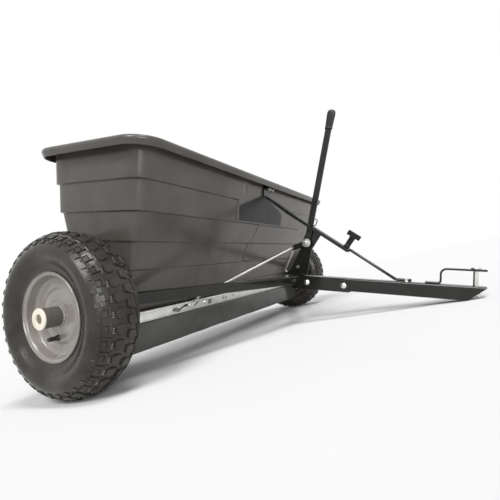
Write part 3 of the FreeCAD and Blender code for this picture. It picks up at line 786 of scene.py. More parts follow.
BLACK_PAINT = Paint("black_paint", "black_paint", (0.0070, 0.0068, 0.0057), (0.0115, 0.0111, 0.0094),
                    (0.11, 0.19), peel_depth=0.00002, specular=0.42)
SHEET_PAINT = Paint("sheet_paint", "black_paint", (0.040, 0.039, 0.035), (0.054, 0.0525, 0.047),
                    (0.12, 0.20), peel=40.0, peel_depth=0.00012, specular=0.5)
KNOB_PLASTIC = MouldedPlastic("knob_plastic", "knob_plastic", (0.008, 0.008, 0.008), (0.012, 0.012, 0.012),
                              (0.32, 0.4), wave_depth=0.0003)
NYLON = MouldedPlastic("bush_nylon", "bush_nylon", (0.62, 0.57, 0.49), (0.72, 0.67, 0.59), (0.42, 0.52),
                       wave_depth=0.0002, grain_depth=0.00005)
ZINC = Plating("zinc_plate", "zinc_plate", (0.54, 0.54, 0.525), (0.76, 0.76, 0.74), (0.16, 0.28),
               dent_depth=0.00004)
# Painted shade: a dark plating for the patches on the slide's lip where its slots and holes lie in shadow.
PAINTED_SHADE_STEEL = Plating("dull_steel", "zinc_plate", (0.13, 0.128, 0.118), (0.24, 0.236, 0.22), (0.30, 0.42))
ROD_STEEL = Plating("rod_steel", "zinc_plate", (0.27, 0.262, 0.24), (0.42, 0.41, 0.385), (0.26, 0.38))
AXLE_STEEL = Plating("axle_steel", "zinc_plate", (0.20, 0.165, 0.13), (0.34, 0.30, 0.26), (0.35, 0.5))


def linked(name: str, data: bpy.types.ID) -> bpy.types.Object:
    """A new object that shows the data, linked to the scene.

    Args:
        name: the object's name.
        data: the mesh, light or camera that it shows.

    Returns:
        The object.
    """
    item = bpy.data.objects.new(name, data)
    bpy.context.scene.collection.objects.link(item)
    return item


@dataclass
class Workshop:
    """Turns solids of the level frame into the scene's pieces and keeps their materials."""

    stance: Stance
    nodes: dict[str, bpy.types.Object]

    def __post_init__(self) -> None:
        """Start with no material built and no piece made."""
        self.materials: dict[str, bpy.types.Material] = {}
        self.count = 0

    def paint(self, item: bpy.types.Object, finish: Finish) -> None:
        """Give an object one finish, building its material the first time.

        Args:
            item: the object.
            finish: its finish.
        """
        if finish.name not in self.materials:
            self.materials[finish.name] = finish.material()
        item.data.materials.clear()
        item.data.materials.append(self.materials[finish.name])

    def dress(self, node: str, finish: Finish) -> None:
        """Give a node of the construction model that stays in view its finish."""
        self.paint(self.nodes[node], finish)
        LOG.info("node %s wears %s", node, finish.name)

    def piece(self, name: str, solid: Solid, finish: Finish, body: Body = Body.FRAME,
              stands_for: Sequence[str] = (), bevel: float = 0.0, crease: float = CREASE) -> None:
        """Make a piece: weld its mesh, face it outwards, finish it and set it riding on its body.

        Args:
            name: the piece's name.
            solid: its shape in the level frame, in millimetres.
            finish: its finish.
            body: the body that it moves with.
            stands_for: the nodes that it is shown instead of.
            bevel: how far its sharp edges are rounded, in millimetres; 0 leaves them to shading.
            crease: the angle in degrees past which an edge without a bevel stays sharp.
        """
        mesh = bpy.data.meshes.new(name)
        mesh.from_pydata(self.stance.parked(solid.points), [], solid.faces)
        shape = bmesh.new()
        shape.from_mesh(mesh)
        bmesh.ops.remove_doubles(shape, verts=shape.verts, dist=WELD)
        bmesh.ops.recalc_face_normals(shape, faces=shape.faces)
        shape.to_mesh(mesh)
        shape.free()
        mesh.shade_smooth()
        item = linked(name, mesh)
        if bevel:
            tool = item.modifiers.new("edges", "BEVEL")
            tool.width = bevel * MM
            tool.segments = 2
            tool.limit_method = "ANGLE"
            tool.angle_limit = math.radians(crease)
            tool.harden_normals = True
        else:
            mesh.set_sharp_from_angle(angle=math.radians(crease))
        self.paint(item, finish)
        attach(item, body.value)
        if stands_for:
            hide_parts(*stands_for)
        self.count += 1
        LOG.info("piece %s: %d faces, rides on %s", name, len(mesh.polygons), body.value)


def step(value: np.ndarray, start: float, end: float) -> np.ndarray:
    """A smooth rise from 0 at start to 1 at end: 3 t squared less 2 t cubed."""
    share = np.clip((value - start) / (end - start), 0, 1)
    return share * share * (3 - 2 * share)


def curve(points: Sequence[Spot], steps: int = 6) -> np.ndarray:
    """A smooth open line through points: between two of them it is the cubic whose slope at each is
    half the way from the point before to the point after.

    Args:
        points: the points, as (across, up).
        steps: points on each span.

    Returns:
        The line's points, as n x 2.
    """
    data = np.array(points, float)
    wide = np.concatenate([2 * data[:1] - data[1:2], data, 2 * data[-1:] - data[-2:-1]])
    a, b, c, d = (wide[i:len(wide) - 3 + i, None] for i in range(4))
    t = np.linspace(0, 1, steps, endpoint=False)[None, :, None]
    spans = 0.5 * (2 * b + (c - a) * t + (2 * a - 5 * b + 4 * c - d) * t ** 2
                   + (3 * b - a - 3 * c + d) * t ** 3)
    return np.concatenate([spans.reshape(-1, 2), data[-1:]])


@dataclass(frozen=True)
class Row:
    """The row of outlets in the hopper's floor, which the slide and the agitator's blades repeat."""

    count: int = 19
    pitch: float = 54.0
    half: float = 11.0

    def middles(self, shift: float = 0.0) -> np.ndarray:
        """The places along X, moved by a share of the pitch."""
        return (np.arange(self.count) - (self.count - 1) / 2 + shift) * self.pitch

    def sheet(self, low: Place, high: Place, shift: float = 0.0) -> list[Solid]:
        """A flat sheet with the row's openings: a strip on each side of them and a bar between each two.

        Args:
            low: the sheet's lowest corner.
            high: the corner opposite to it.
            shift: how far the openings are moved, as a share of the pitch.

        Returns:
            The two strips and the bars.
        """
        (left, front, foot), (right, rear, top) = low, high
        sides = np.tile([-self.half, self.half], self.count)
        edges = np.concatenate([[left], np.repeat(self.middles(shift), 2) + sides, [right]])
        strips = [box(low, (right, -self.half, top)), box((left, self.half, foot), high)]
        return strips + [box((start, -self.half, foot), (end, self.half, top))
                         for start, end in edges.reshape(-1, 2)]


OUTLETS = Row()


@dataclass(frozen=True)
class Hopper:
    """The moulded hopper: a rolled rim, six bands drawn in by ledges, and a floor with outlets.

    The front is drawn at nominal stations. Their marks are where the swelling's splayed edge and
    the pad's edge lie, where the flat's last stretch starts and where it ends.
    """

    half_length: float = 570.0
    front: float = 145.0
    rear: float = 151.0
    top: float = 533.0
    bottom: float = 135.0
    wall: float = 4.0
    corner: float = 36.0
    foot_corner: float = 12.0
    ledge: float = 4.5
    ledge_half: float = 1.4
    ledges: tuple[float, ...] = (453.0, 387.0, 323.0, 260.0, 194.0)
    upper_slopes: tuple[float, float, float] = (0.03, 0.07, 0.055)
    lower_slopes: tuple[float, float, float] = (0.08, 0.28, 0.28)
    overhang: float = 29.0
    lip: float = 20.0
    rim_foot: float = 512.0
    marks: tuple[float, float, float, float] = (37, 167, 400, 530)
    splay: tuple[Spot, ...] = ((260, 49), (321.6, 42), (324.4, 25), (388, 5))
    splay_height: float = 2.4
    groove_x: float = -130.0
    groove_depth: float = 1.6
    film_gauge: float = 0.7
    film_gap: float = 0.1

    def ledge_at(self, level: float, z: np.ndarray) -> np.ndarray:
        """One ledge's depth below its level, reached over a short rounded step."""
        return self.ledge * step(-z, -level - self.ledge_half, -level + self.ledge_half)

    def inset(self, z: np.ndarray) -> np.ndarray:
        """How far the end, front and rear walls are drawn in at a level.

        The walls lean in by one slope above the second ledge and by another below it, and each
        ledge adds its own depth over a short rounded step.

        Args:
            z: levels.

        Returns:
            The three insets, as 3 x n.
        """
        knee = self.ledges[1]
        upper = self.top - np.maximum(z, knee)
        lower = np.maximum(knee - z, 0)
        steps = sum(self.ledge_at(level, z) for level in self.ledges)
        slopes = zip(self.upper_slopes, self.lower_slopes)
        return np.stack([upper * above + lower * below + steps for above, below in slopes])

    def stations(self) -> np.ndarray:
        """Nominal places along the front, the same on both halves, closest where a relief's edge runs.

        Returns:
            The stations, from end to end.
        """
        parts = ([0, 10, 20, 30, 34.5, 36, 37, 38, 39.5, 43], np.arange(50, 121, 10),
                 np.arange(122, 140, 1.6), [146, 154, 160, 164, 165.5, 167, 168.5, 170, 174],
                 np.arange(185, 400, 25), np.linspace(400, 530, 6))
        half = np.concatenate([np.asarray(part, float) for part in parts])
        return np.concatenate([-half[:0:-1], half])

    def spread(self, nominal: np.ndarray, z: np.ndarray, flat: np.ndarray) -> np.ndarray:
        """Real places of the nominal stations at each level.

        Between two marks the stations are spread evenly, and the last mark is the end of the flat.

        Args:
            nominal: stations, as 1 x n.
            z: levels, as m x 1.
            flat: half length of the flat at each level, as m x 1.

        Returns:
            Places along X, as m x n.
        """
        size = np.abs(nominal)
        splay, pad, tail, end = self.marks
        edge = np.interp(z, *np.array(self.splay, float).T)
        inner = size / splay * edge
        middle = edge + (size - splay) / (pad - splay) * (pad - edge)
        outer = tail + (size - tail) / (end - tail) * (flat - tail)
        rest = np.where(size < pad, middle, np.where(size < tail, size, outer))
        return np.sign(nominal) * np.where(size < splay, inner, rest)

    def relief(self, nominal: np.ndarray, x: np.ndarray, z: np.ndarray) -> np.ndarray:
        """How far the front stands out from its bands: a pad that hides the first ledge, a shallow
        groove in the top band and a splayed swelling on the third and fourth.

        Args:
            nominal: stations, as 1 x n.
            x: real places, as m x n.
            z: levels, as m x 1.

        Returns:
            The distances, as m x n.
        """
        first, second, _, fourth, _ = self.ledges
        edge, pad_edge = self.marks[:2]
        pad = self.ledge_at(first, z) * step(z, second - self.ledge_half, second + self.ledge_half)
        pad = pad * step(-np.abs(x), -pad_edge - 1.5, -pad_edge + 1.5)
        groove = self.groove_depth * step(z, 470, 474) * step(-z, -506, -500)
        groove = groove * step(-np.abs(x - self.groove_x), -6.2, -3.4)
        splay = self.splay_height * step(-np.abs(nominal), -edge - 1, -edge + 1)
        splay = splay * step(-z, -second + 3, -second + 6) * step(z, fourth + 2, fourth + 5)
        return pad - groove + splay

    def ring(self, out: np.ndarray, z: np.ndarray, relief: bool) -> np.ndarray:
        """Rings round the hopper: four flats joined by quarter circles.

        Args:
            out: how far each ring stands out from the walls.
            z: each ring's level.
            relief: whether the front's pad, groove and swelling are drawn.

        Returns:
            The rings' points, as m x n x 3.
        """
        end_in, front_in, rear_in = self.inset(z)
        half = (self.half_length - end_in + out)[:, None]
        front = (self.front - front_in + out)[:, None]
        rear = (self.rear - rear_in + out)[:, None]
        fall = (self.top - z) / (self.top - self.bottom)
        radius = (self.corner + (self.foot_corner - self.corner) * fall + out)[:, None]
        level = z[:, None]
        nominal = self.stations()[None, :]
        x = self.spread(nominal, level, half - radius)
        shape = self.relief(nominal, x, level) if relief else 0.0
        share = np.linspace(0, 1, 14)[None, 1:-1]
        side = -(front - radius) + (front + rear - 2 * radius) * share
        turn = np.radians(np.linspace(0, 90, 12))[None, 1:-1]
        c, s = radius * np.cos(turn), radius * np.sin(turn)
        across = [x, half - radius + s, half + 0 * side, half - radius + c,
                  x[:, ::-1], -(half - radius) - s, -half + 0 * side, -(half - radius) - c]
        along = [-front - shape + 0 * x, -(front - radius) - c, side, rear - radius + s,
                 rear + 0 * x, rear - radius + c, side[:, ::-1], -(front - radius) - s]
        flat = np.stack([np.concatenate(across, 1), np.concatenate(along, 1)], axis=-1)
        return np.concatenate([flat, np.repeat(level[:, :, None], flat.shape[1], 1)], axis=-1)

    def shell(self) -> Solid:
        """The walls and the rolled rim as one closed skin, from the foot up, over and back down.

        Returns:
            The skin.
        """
        fine = np.array([2.4, 1.4, 0.9, 0.4, 0, -0.4, -0.9, -1.4, -2.4])
        near = np.concatenate([level + fine for level in self.ledges])
        extra = [470, 472, 474, 381, 382.5, 384, 262, 263.5, 265, 500, 503]
        levels = np.unique(np.concatenate([np.arange(self.bottom, 505, 14.5), near, extra]))
        edge, under = self.overhang, self.top - self.wall
        low = self.top - self.lip
        rim = rounded([(0, self.rim_foot, 0), (0, under, 7), (edge - 3.8, under, 3), (edge - 6.6, low, 1.2),
                       (edge - 3.6, low, 1.2), (edge, low + 10, 8), (edge, self.top, 8),
                       (-self.wall, self.top, 8), (-self.wall, self.rim_foot, 0)], 7, closed=False)
        outer = self.ring(0 * levels, levels, relief=True)
        rolled = self.ring(rim[:, 0], rim[:, 1], relief=False)
        inner = self.ring(0 * levels[::-1] - self.wall, levels[::-1], relief=False)
        return skin(np.concatenate([outer, rolled, inner]), close_rows=True)

    def floor(self) -> Solid:
        """The floor between the walls, with its outlets.

        Returns:
            The floor.
        """
        end_in, front_in, rear_in = self.inset(np.array([self.bottom]))[:, 0]
        half = self.half_length - end_in - self.wall / 2
        front, rear = self.front - front_in - self.wall / 2, self.rear - rear_in - self.wall / 2
        return joined(OUTLETS.sheet((-half, -front, self.bottom), (half, rear, self.bottom + self.wall)))

    def panel(self) -> Solid:
        """The plain dark film on the pad: a low gable that lies on the top bands' leaning plane.

        Returns:
            The film.
        """
        gable = rounded([(-159, 392, 4), (159, 392, 4), (159, 438, 8), (24, 480, 10), (-24, 480, 10),
                         (-159, 438, 8)], 4)
        film = prism(gable, 0, self.film_gauge, Plane.FRONT)
        plane = -self.front + (self.top - film.points[:, 2]) * self.upper_slopes[1]
        film.points[:, 1] = plane - film.points[:, 1] + self.film_gap
        return film

    def build(self, shop: Workshop) -> None:
        """Make the hopper and the film on its front.

        Args:
            shop: what makes the pieces and keeps their materials.
        """
        shop.piece("hopper_shell", joined([self.shell(), self.floor()]), HOPPER_PLASTIC,
                   stands_for=["hopper"], crease=50)
        shop.piece("hopper_panel", self.panel(), PANEL_FILM)


@dataclass(frozen=True)
class Tyre:
    """A low-pressure tyre with a knobbed tread, drawn about X with its outer side towards +X."""

    side: tuple[Spot, ...] = (
        (0, 166.2), (10, 165.9), (19, 164.6), (27, 162.2), (34, 158.8), (41, 154.0), (47.8, 147.4),
        (52.8, 140.0), (55.2, 132.0), (54.4, 124.0), (50.8, 116.4), (45.8, 109.6), (41.6, 103.6),
        (39.4, 98.6), (38.6, 94.6))
    seat: tuple[Spot, ...] = ((38.4, 92.4), (38.1, 91.0), (38.0, 86.4), (0, 85.4))
    pitches: int = 36
    block_height: float = 3.2
    block_foot: float = -2.0
    block_shoulder: float = 0.72
    tick_height: float = 0.8
    tread_radius: float = 165.0

    def lines(self) -> tuple[np.ndarray, np.ndarray]:
        """The carcass from crown to bead, and the distance from the crown along it.

        Returns:
            The line's points, as n x 2, and their distances.
        """
        line = curve(self.side)
        far = np.concatenate([[0], np.cumsum(np.linalg.norm(np.diff(line, axis=0), axis=1))])
        return line, far

    def carcass(self) -> Solid:
        """The carcass: a crown, rounded sides and beads, turned all the way round.

        Returns:
            The carcass.
        """
        line, _ = self.lines()
        half = np.concatenate([line, np.array(self.seat)])
        mirror = half[-2:0:-1] * np.array([-1, 1])
        return turned(np.concatenate([half, mirror]), 144, closed=True)

    def lift(self, s: np.ndarray, height: np.ndarray) -> tuple[np.ndarray, np.ndarray]:
        """Place and radius of a point at a distance s across the tread and a height above it.

        Args:
            s: distances across the tread from its middle.
            height: heights above the carcass.

        Returns:
            The places along X and the radii.
        """
        line, far = self.lines()
        along = unit(np.gradient(line, axis=0))
        size = np.abs(s)
        x, r = np.interp(size, far, line[:, 0]), np.interp(size, far, line[:, 1])
        nx, nr = np.interp(size, far, -along[:, 1]), np.interp(size, far, along[:, 0])
        return np.sign(s) * (x + nx * height), r + nr * height

    def blocks(self, outline: Sequence[Spot], height: float, phase: float, shrink: float = 0.88) -> Solid:
        """One block of the tread, repeated at every pitch.

        Each block is three rings of its outline: a foot below the carcass, a shoulder and a
        slightly smaller top, laid at s across the tread and t round it.

        Args:
            outline: the block's corners as (s, t), in millimetres.
            height: how far it stands above the carcass.
            phase: where it lies within the pitch, from 0 to 1.
            shrink: the top's size against the foot's.

        Returns:
            The blocks.
        """
        data = np.array(outline, float)
        middle = data.mean(0)
        corners = len(data)
        sizes = np.array([1.03, 0.99, shrink])[:, None, None]
        rings = middle + (data - middle) * sizes
        levels = np.array([self.block_foot, height * self.block_shoulder, height])[:, None]
        x, r = self.lift(rings[..., 0], levels)
        turn = ROUND * (np.arange(self.pitches) + phase) / self.pitches
        angle = rings[None, ..., 1] / self.tread_radius + turn[:, None, None]
        points = about_x(x, r, angle).reshape(-1, 3)
        here = np.arange(corners)
        ahead = (here + 1) % corners
        wall = np.stack([here, ahead, corners + ahead, corners + here], 1)
        walls = np.concatenate([wall, corners + wall])
        starts = (np.arange(self.pitches) * 3 * corners)[:, None, None]
        faces = (walls[None] + starts).reshape(-1, 4).tolist()
        caps = np.stack([here[::-1], 2 * corners + here])
        faces += (caps[None] + starts).reshape(-1, corners).tolist()
        return Solid(points, faces)

    def tread(self) -> Solid:
        """All the tread's blocks: zigzag centre rows, hooked blocks with a filler, shoulder lugs.

        Returns:
            The blocks.
        """
        hook = [(29, -9.4), (37, -9.4), (45, -9.4), (45, -4.4), (37, -4.4), (35, -4.4), (35, 9.4),
                (29, 9.4)]
        filler = [(36.2, -3.2), (45, -3.2), (45, 9.4), (36.2, 9.4)]
        lug = [(47, -6.0), (51, -5.6), (56, -4.6), (56, 4.6), (51, 5.6), (47, 6.0)]
        knob = [(47, -2.6), (50, -2.2), (50, 2.2), (47, 2.6)]
        centre = [(4.2, -9.5), (13, -11), (22.5, -8), (22.5, 3), (17, 9.5), (9, 8), (4.2, 4)]
        rib = [(24.2, -1.2), (25.6, -1.2), (25.6, 1.2), (24.2, 1.2)]
        kinds = ((hook, self.block_height, 0.0), (filler, self.block_height, 0.0), (lug, 2.4, 0.5),
                 (knob, 1.4, 0.98), (centre, 4.6, 0.25), (rib, 2.0, 0.6))
        return joined(self.blocks([(side * s, t) for s, t in outline], height, phase + shift)
                      for side, shift in ((1, 0.0), (-1, 0.5)) for outline, height, phase in kinds)

    def ticks(self) -> Solid:
        """The short ridges in the groove between the centre rows and the hooked blocks; their pale finish
        is a painted highlight.

        Returns:
            The bars.
        """
        bar = [(25.4, -0.45), (28.2, -0.45), (28.2, 0.45), (25.4, 0.45)]
        return joined(self.blocks([(side * s, t) for s, t in bar], self.tick_height, phase + shift, 0.9)
                      for side, shift in ((1, 0.0), (-1, 0.5)) for phase in (0.12, 0.26, 0.40))


@dataclass(frozen=True)
class Wheel:
    """A wheel: its tyre, pressed rim, hub tube, bush and valve, on one end of the axle."""

    name: str
    side: int
    body: Body
    driven: bool
    track: float = 621.5
    gauge: float = 2.6
    hub_radius: float = 20.0
    hub_outer: float = 59.5
    hub_inner: float = 60.0
    hub_edge: float = 0.8
    weld_gauge: float = 2.3
    bush_radius: float = 14.0
    bush_gap: float = 0.05
    flange_radius: float = 21.0
    flange: float = 3.0
    valve_drop: float = 44.0
    disc_face: float = 20.0

    def seated(self, solid: Solid) -> Solid:
        """A solid drawn about the wheel's middle, outer side towards +X, set in its place.

        Args:
            solid: the solid.

        Returns:
            The solid in its place.
        """
        points = solid.points.copy()
        points[:, 0] = self.side * (self.track + points[:, 0])
        points[:, 2] += AXLE_HEIGHT
        return Solid(points, solid.faces)

    def barrel(self) -> Solid:
        """The rim's barrel: a sheet with a curled lip at each end and a low hump inside each bead.

        Returns:
            The barrel.
        """
        middle = rounded([(41.0, 87.8, 0), (40.2, 89.2, 1.2), (38.6, 88.6, 1.2), (38.4, 83.2, 3.5),
                          (27.0, 82.4, 4), (22.0, 80.6, 4), (-22.0, 80.6, 4), (-27.0, 82.4, 4),
                          (-38.4, 83.2, 3.5), (-38.6, 88.6, 1.2), (-40.2, 89.2, 1.2), (-41.0, 87.8, 0)], 6,
                         closed=False)
        return turned(band(middle, self.gauge), 120, closed=True)

    def disc(self) -> Solid:
        """The rim's disc: a dished sheet whose middle stands out to the hub in one round step.

        Returns:
            The disc.
        """
        middle = rounded([(30.0, 81.2, 0), (21.0, 80.0, 6), (16.6, 73.0, 7), (15.6, 58.0, 8),
                          (20.0, 50.0, 8), (20.6, 34.0, 8), (19.4, 28.0, 4),
                          (21.0, self.hub_radius - 0.6, 0)], 8, closed=False)
        return turned(band(middle, self.gauge), 120, closed=True)

    def weld(self) -> Solid:
        """The bead of weld where the hub tube passes through the disc: a ring whose thickness swells and
        thins with two sines of the angle round the hub.

        Returns:
            The bead.
        """
        angle = np.linspace(0, ROUND, 96, endpoint=False)[:, None]
        around = np.linspace(0, ROUND, 10, endpoint=False)[None, :]
        thick = self.weld_gauge + 0.35 * np.sin(angle * 17) + 0.2 * np.sin(angle * 31 + 1)
        radius = self.hub_radius + 0.6 + thick * np.cos(around)
        x = self.disc_face + self.gauge + thick * np.sin(around)
        return skin(about_x(x, radius, angle), close_rows=True)

    def tube(self) -> Solid:
        """The hub: a plain tube with its edges broken.

        Returns:
            The hub.
        """
        bore, edge = AXLE_RADIUS if self.driven else self.bush_radius, self.hub_edge
        ring = [(-self.hub_inner, bore), (self.hub_outer, bore), (self.hub_outer, self.hub_radius - edge),
                (self.hub_outer - edge, self.hub_radius), (edge - self.hub_inner, self.hub_radius),
                (-self.hub_inner, self.hub_radius - edge)]
        return turned(ring, 64, closed=True)

    def bush(self) -> Solid:
        """The bush's flange with a rounded rim, and its sleeve inside the hub of the free wheel.

        Returns:
            The bush.
        """
        out, edge = self.hub_outer + self.flange, self.flange * 0.3
        bore = AXLE_RADIUS + (0.0 if self.driven else self.bush_gap)
        inner = self.hub_outer if self.driven else -self.hub_inner
        sleeve = bore + 0.5 if self.driven else self.bush_radius
        ring = [(inner, bore), (out - edge, bore), (out, bore + edge), (out, self.flange_radius - edge),
                (out - edge, self.flange_radius), (self.hub_outer, self.flange_radius),
                (self.hub_outer, sleeve), (inner, sleeve)]
        return turned(ring, 64, closed=True)

    def valve(self) -> Solid:
        """The valve: a rubber collar and stem with a ribbed cap, lying along X under the hub.

        Returns:
            The valve.
        """
        profile = [(0, 0), (0, 6.6), (2.4, 6.6), (4.6, 5.0), (12.5, 4.2), (13.5, 4.4), (15, 4.6), (16, 4.3),
                   (17, 4.6), (18, 4.3), (19, 4.6), (20, 4.3), (22.6, 4.1), (23.4, 3.2), (23.6, 0)]
        return turned(profile, 24).moved(x=self.disc_face, z=-self.valve_drop)

    def build(self, shop: Workshop) -> None:
        """Make the wheel's pieces.

        Args:
            shop: what makes the pieces and keeps their materials.
        """
        tyre = Tyre()
        for piece, solid, finish, nodes, crease in (
                ("tyre_rubber", joined([tyre.carcass(), tyre.tread()]), TYRE_RUBBER, ["tyre"], 38),
                # the ticks wear a painted highlight
                ("tyre_ticks", tyre.ticks(), HIGHLIGHT_TICK_RUBBER, [], CREASE),
                ("rim_steel", joined([self.barrel(), self.disc(), self.weld()]), RIM_PAINT, ["rim"], 50),
                ("hub_tube", self.tube(), HUB_PAINT, ["hub"], CREASE),
                ("hub_bush", self.bush(), NYLON, ["bush"], CREASE),
                ("valve_stem", self.valve(), VALVE_RUBBER, ["valve"], CREASE)):
            shop.piece(f"{self.name}_{piece}", self.seated(solid), finish, self.body,
                       [f"{self.name}_{node}" for node in nodes], crease=crease)


@dataclass(frozen=True)
class Drawbar:
    """The tongue and what is bolted to it: the cradle, both rails, the hitch and its pin.

    The rails' bolts are set out by rail_way: how far back and how far down a rail runs for each
    millimetre across.
    """

    half_width: float = 19.0
    top: float = TONGUE_TOP
    height: float = 38.0
    gauge: float = 3.0
    rear: float = 270.0
    nose: float = 782.0
    nose_run: float = 42.0
    cradle_rear: float = 258.0
    cradle_front: float = 440.0
    gap: float = 0.3
    rail_front: float = 282.0
    rail_rear: float = 84.0
    rail_half_span: float = 556.0
    rail_top: float = 222.0
    rail_drop: float = 12.0
    rail_leg: float = 25.0
    strap_foot: float = 640.0
    strap_upright: float = 677.5
    strap_top: float = 268.0
    strap_gauge: float = 5.0
    strap_half: float = 15.0
    pin_place: float = 758.0
    pin_bottom: float = 196.0
    pin_radius: float = 6.35
    clip_wire: float = 1.3
    cheek_bolts: tuple[Spot, Spot] = ((-308, 204), (-422, 202))
    top_bolt: float = -593.0
    rail_bolts: tuple[float, float] = (60, 530)
    rail_way: tuple[float, float] = (0.3687, 0.0223)

    def tongue(self) -> Solid:
        """The tongue: a folded channel, open below, whose front end is cut on a slope.

        Returns:
            The tongue.
        """
        w, t = self.half_width, self.gauge
        low = self.top - self.height
        section = rounded([(-w, low, 0.8), (-w, self.top, 4.5), (w, self.top, 4.5), (w, low, 0.8),
                           (w - t, low, 0.8), (w - t, self.top - t, 2), (t - w, self.top - t, 2),
                           (t - w, low, 0.8)], 5)
        bar = prism(section, -self.nose, -self.rear, Plane.FRONT)
        front = bar.points[:, 1] < -self.nose + 1
        slope = self.nose_run / (self.height - t)
        bar.points[front, 1] += np.maximum(self.top - t - bar.points[front, 2], 0) * slope
        return bar

    def cradle(self) -> Solid:
        """The cradle under the tongue's rear end: two cheeks and a floor.

        Returns:
            The cradle.
        """
        inner = self.half_width + self.gap
        outer, low = inner + self.gauge, self.top - self.height - self.gap
        cheek = rounded([(-self.cradle_rear, low - self.gauge, 2), (-self.cradle_rear, self.top, 2),
                         (-self.cradle_front + 19, self.top, 4), (-self.cradle_front, self.top - 13, 4),
                         (-self.cradle_front, low - self.gauge, 3)], 4)
        floor = box((-outer, -self.cradle_front, low - self.gauge), (outer, -self.cradle_rear, low))
        return joined([prism(cheek, inner, outer), prism(cheek, -outer, -inner), floor])

    def rail(self, side: int) -> Solid:
        """One rail: an angle with rounded heel and toes, carried from the cradle out to the end plate.

        Every section stands square to X, and its heel runs back and down in proportion to X.

        Args:
            side: +1 for the left rail, -1 for the right one.

        Returns:
            The rail.
        """
        leg, t = self.rail_leg, self.gauge
        section = rounded([(0, -leg, 1), (0, 0, 3.2), (leg, 0, 1), (leg, -t, 1), (t, -t, 2.5),
                           (t, -leg, 1)], 5)
        inner = self.half_width + self.gap + self.gauge + 1
        x = np.linspace(inner, self.rail_half_span, 12)[:, None]
        run = self.rail_half_span - self.half_width
        y = -self.rail_front + (x - self.half_width) * (self.rail_front - self.rail_rear) / run
        z = self.rail_top - (x - inner) * self.rail_drop / run
        places = np.broadcast_arrays(side * x, y + section[:, 0], z + section[:, 1])
        return capped(np.stack(places, axis=-1))

    def strap(self) -> Solid:
        """The hitch strap: a flat bar that rises from its foot and bends forward over the nose.

        Returns:
            The strap.
        """
        low, high = self.top + self.strap_gauge / 2, self.strap_top - self.strap_gauge / 2
        middle = rounded([(-self.strap_foot, low, 0), (-self.strap_upright, low, 7),
                          (-self.strap_upright, high, 14), (-self.nose, high, 0)], 8, closed=False)
        return prism(band(middle, self.strap_gauge), -self.strap_half, self.strap_half)

    def pin(self) -> Solid:
        """The hitch pin: a plain shank with a flat round head and a broken lower edge.

        Returns:
            The pin.
        """
        length, r = self.strap_top - self.pin_bottom, self.pin_radius
        head = [(0, 11.2), (0.8, 12), (3.2, 12), (4, 11.2), (4, 0)]
        profile = [(0, 0), (0, r - 2), (2, r), (length, r), *((length + up, out) for up, out in head)]
        y = -self.pin_place
        return turned(profile, 40).aimed((0, y, self.pin_bottom), (0, y, self.top))

    def clip(self) -> Solid:
        """The spring clip at the pin's foot: a straight leg and a wavy one that hugs the shank.

        Returns:
            The clip.
        """
        y, z = -self.pin_place - self.pin_radius - 1.8, self.pin_bottom + 2.2
        reach, rise = 15, 6
        turn = np.linspace(0, 1, 40)
        leg = [2 * reach * turn - reach, y + 0 * turn, z + 0 * turn]
        bow = [reach + 4 * np.sin(turn * math.pi), y + 0 * turn, z + rise * turn]
        back = [reach - 27 * turn, y - 2.2 * np.sin(turn * ROUND * 1.5) ** 2, z + rise + 0 * turn]
        path = np.concatenate([np.column_stack(leg), np.column_stack(bow)[1:], np.column_stack(back)[1:]])
        return rod(path, self.clip_wire, (0, 1, 0.2), 10)

    def bolts(self) -> Solid:
        """The zinc bolts: two on each cheek of the cradle, one on the tongue and two on each rail.

        Returns:
            The bolts.
        """
        side = self.half_width + self.gap + self.gauge
        cheek = joined([washer(8.4, 4, 1.2), domed_head(6.8, 4.2).moved(x=1.2)])
        solids = [cheek.aimed((way * side, y, z), (way * (side + 1), y, z))
                  for y, z in self.cheek_bolts for way in (-1, 1)]
        solids.append(nut(13, 6.5, 9.5, 4.2, 1.6).aimed((0, self.top_bolt, self.top),
                                                        (0, self.top_bolt, self.top + 1)))
        back, down = self.rail_way
        for way in (-1, 1):
            for x in self.rail_bolts:
                y = -self.rail_front + (x - self.half_width) * back + 14
                z = self.rail_top - x * down
                solids.append(hexagon_head(11, 4.5).aimed((way * x, y, z), (way * x, y, z + 1)))
        return joined(solids)

    def build(self, shop: Workshop) -> None:
        """Make the drawbar's pieces.

        Args:
            shop: what makes the pieces and keeps their materials.
        """
        shop.piece("tongue_channel", self.tongue(), BLACK_PAINT, stands_for=["tongue"], crease=40)
        shop.piece("tongue_cradle", self.cradle(), BLACK_PAINT, stands_for=["hitch_bracket"], bevel=0.5)
        for name, side in (("left", 1), ("right", -1)):
            shop.piece(f"rail_{name}", self.rail(side), BLACK_PAINT, stands_for=[f"frame_rail_{name}"],
                       crease=45)
        shop.piece("hitch_bar", self.strap(), BLACK_PAINT, stands_for=["hitch_strap"], bevel=0.7)
        shop.piece("hitch_pin_shank", self.pin(), ZINC, stands_for=["hitch_pin"])
        shop.piece("hitch_pin_clip", self.clip(), ZINC, stands_for=["hair_pin"])
        shop.piece("drawbar_bolts", self.bolts(), ZINC)


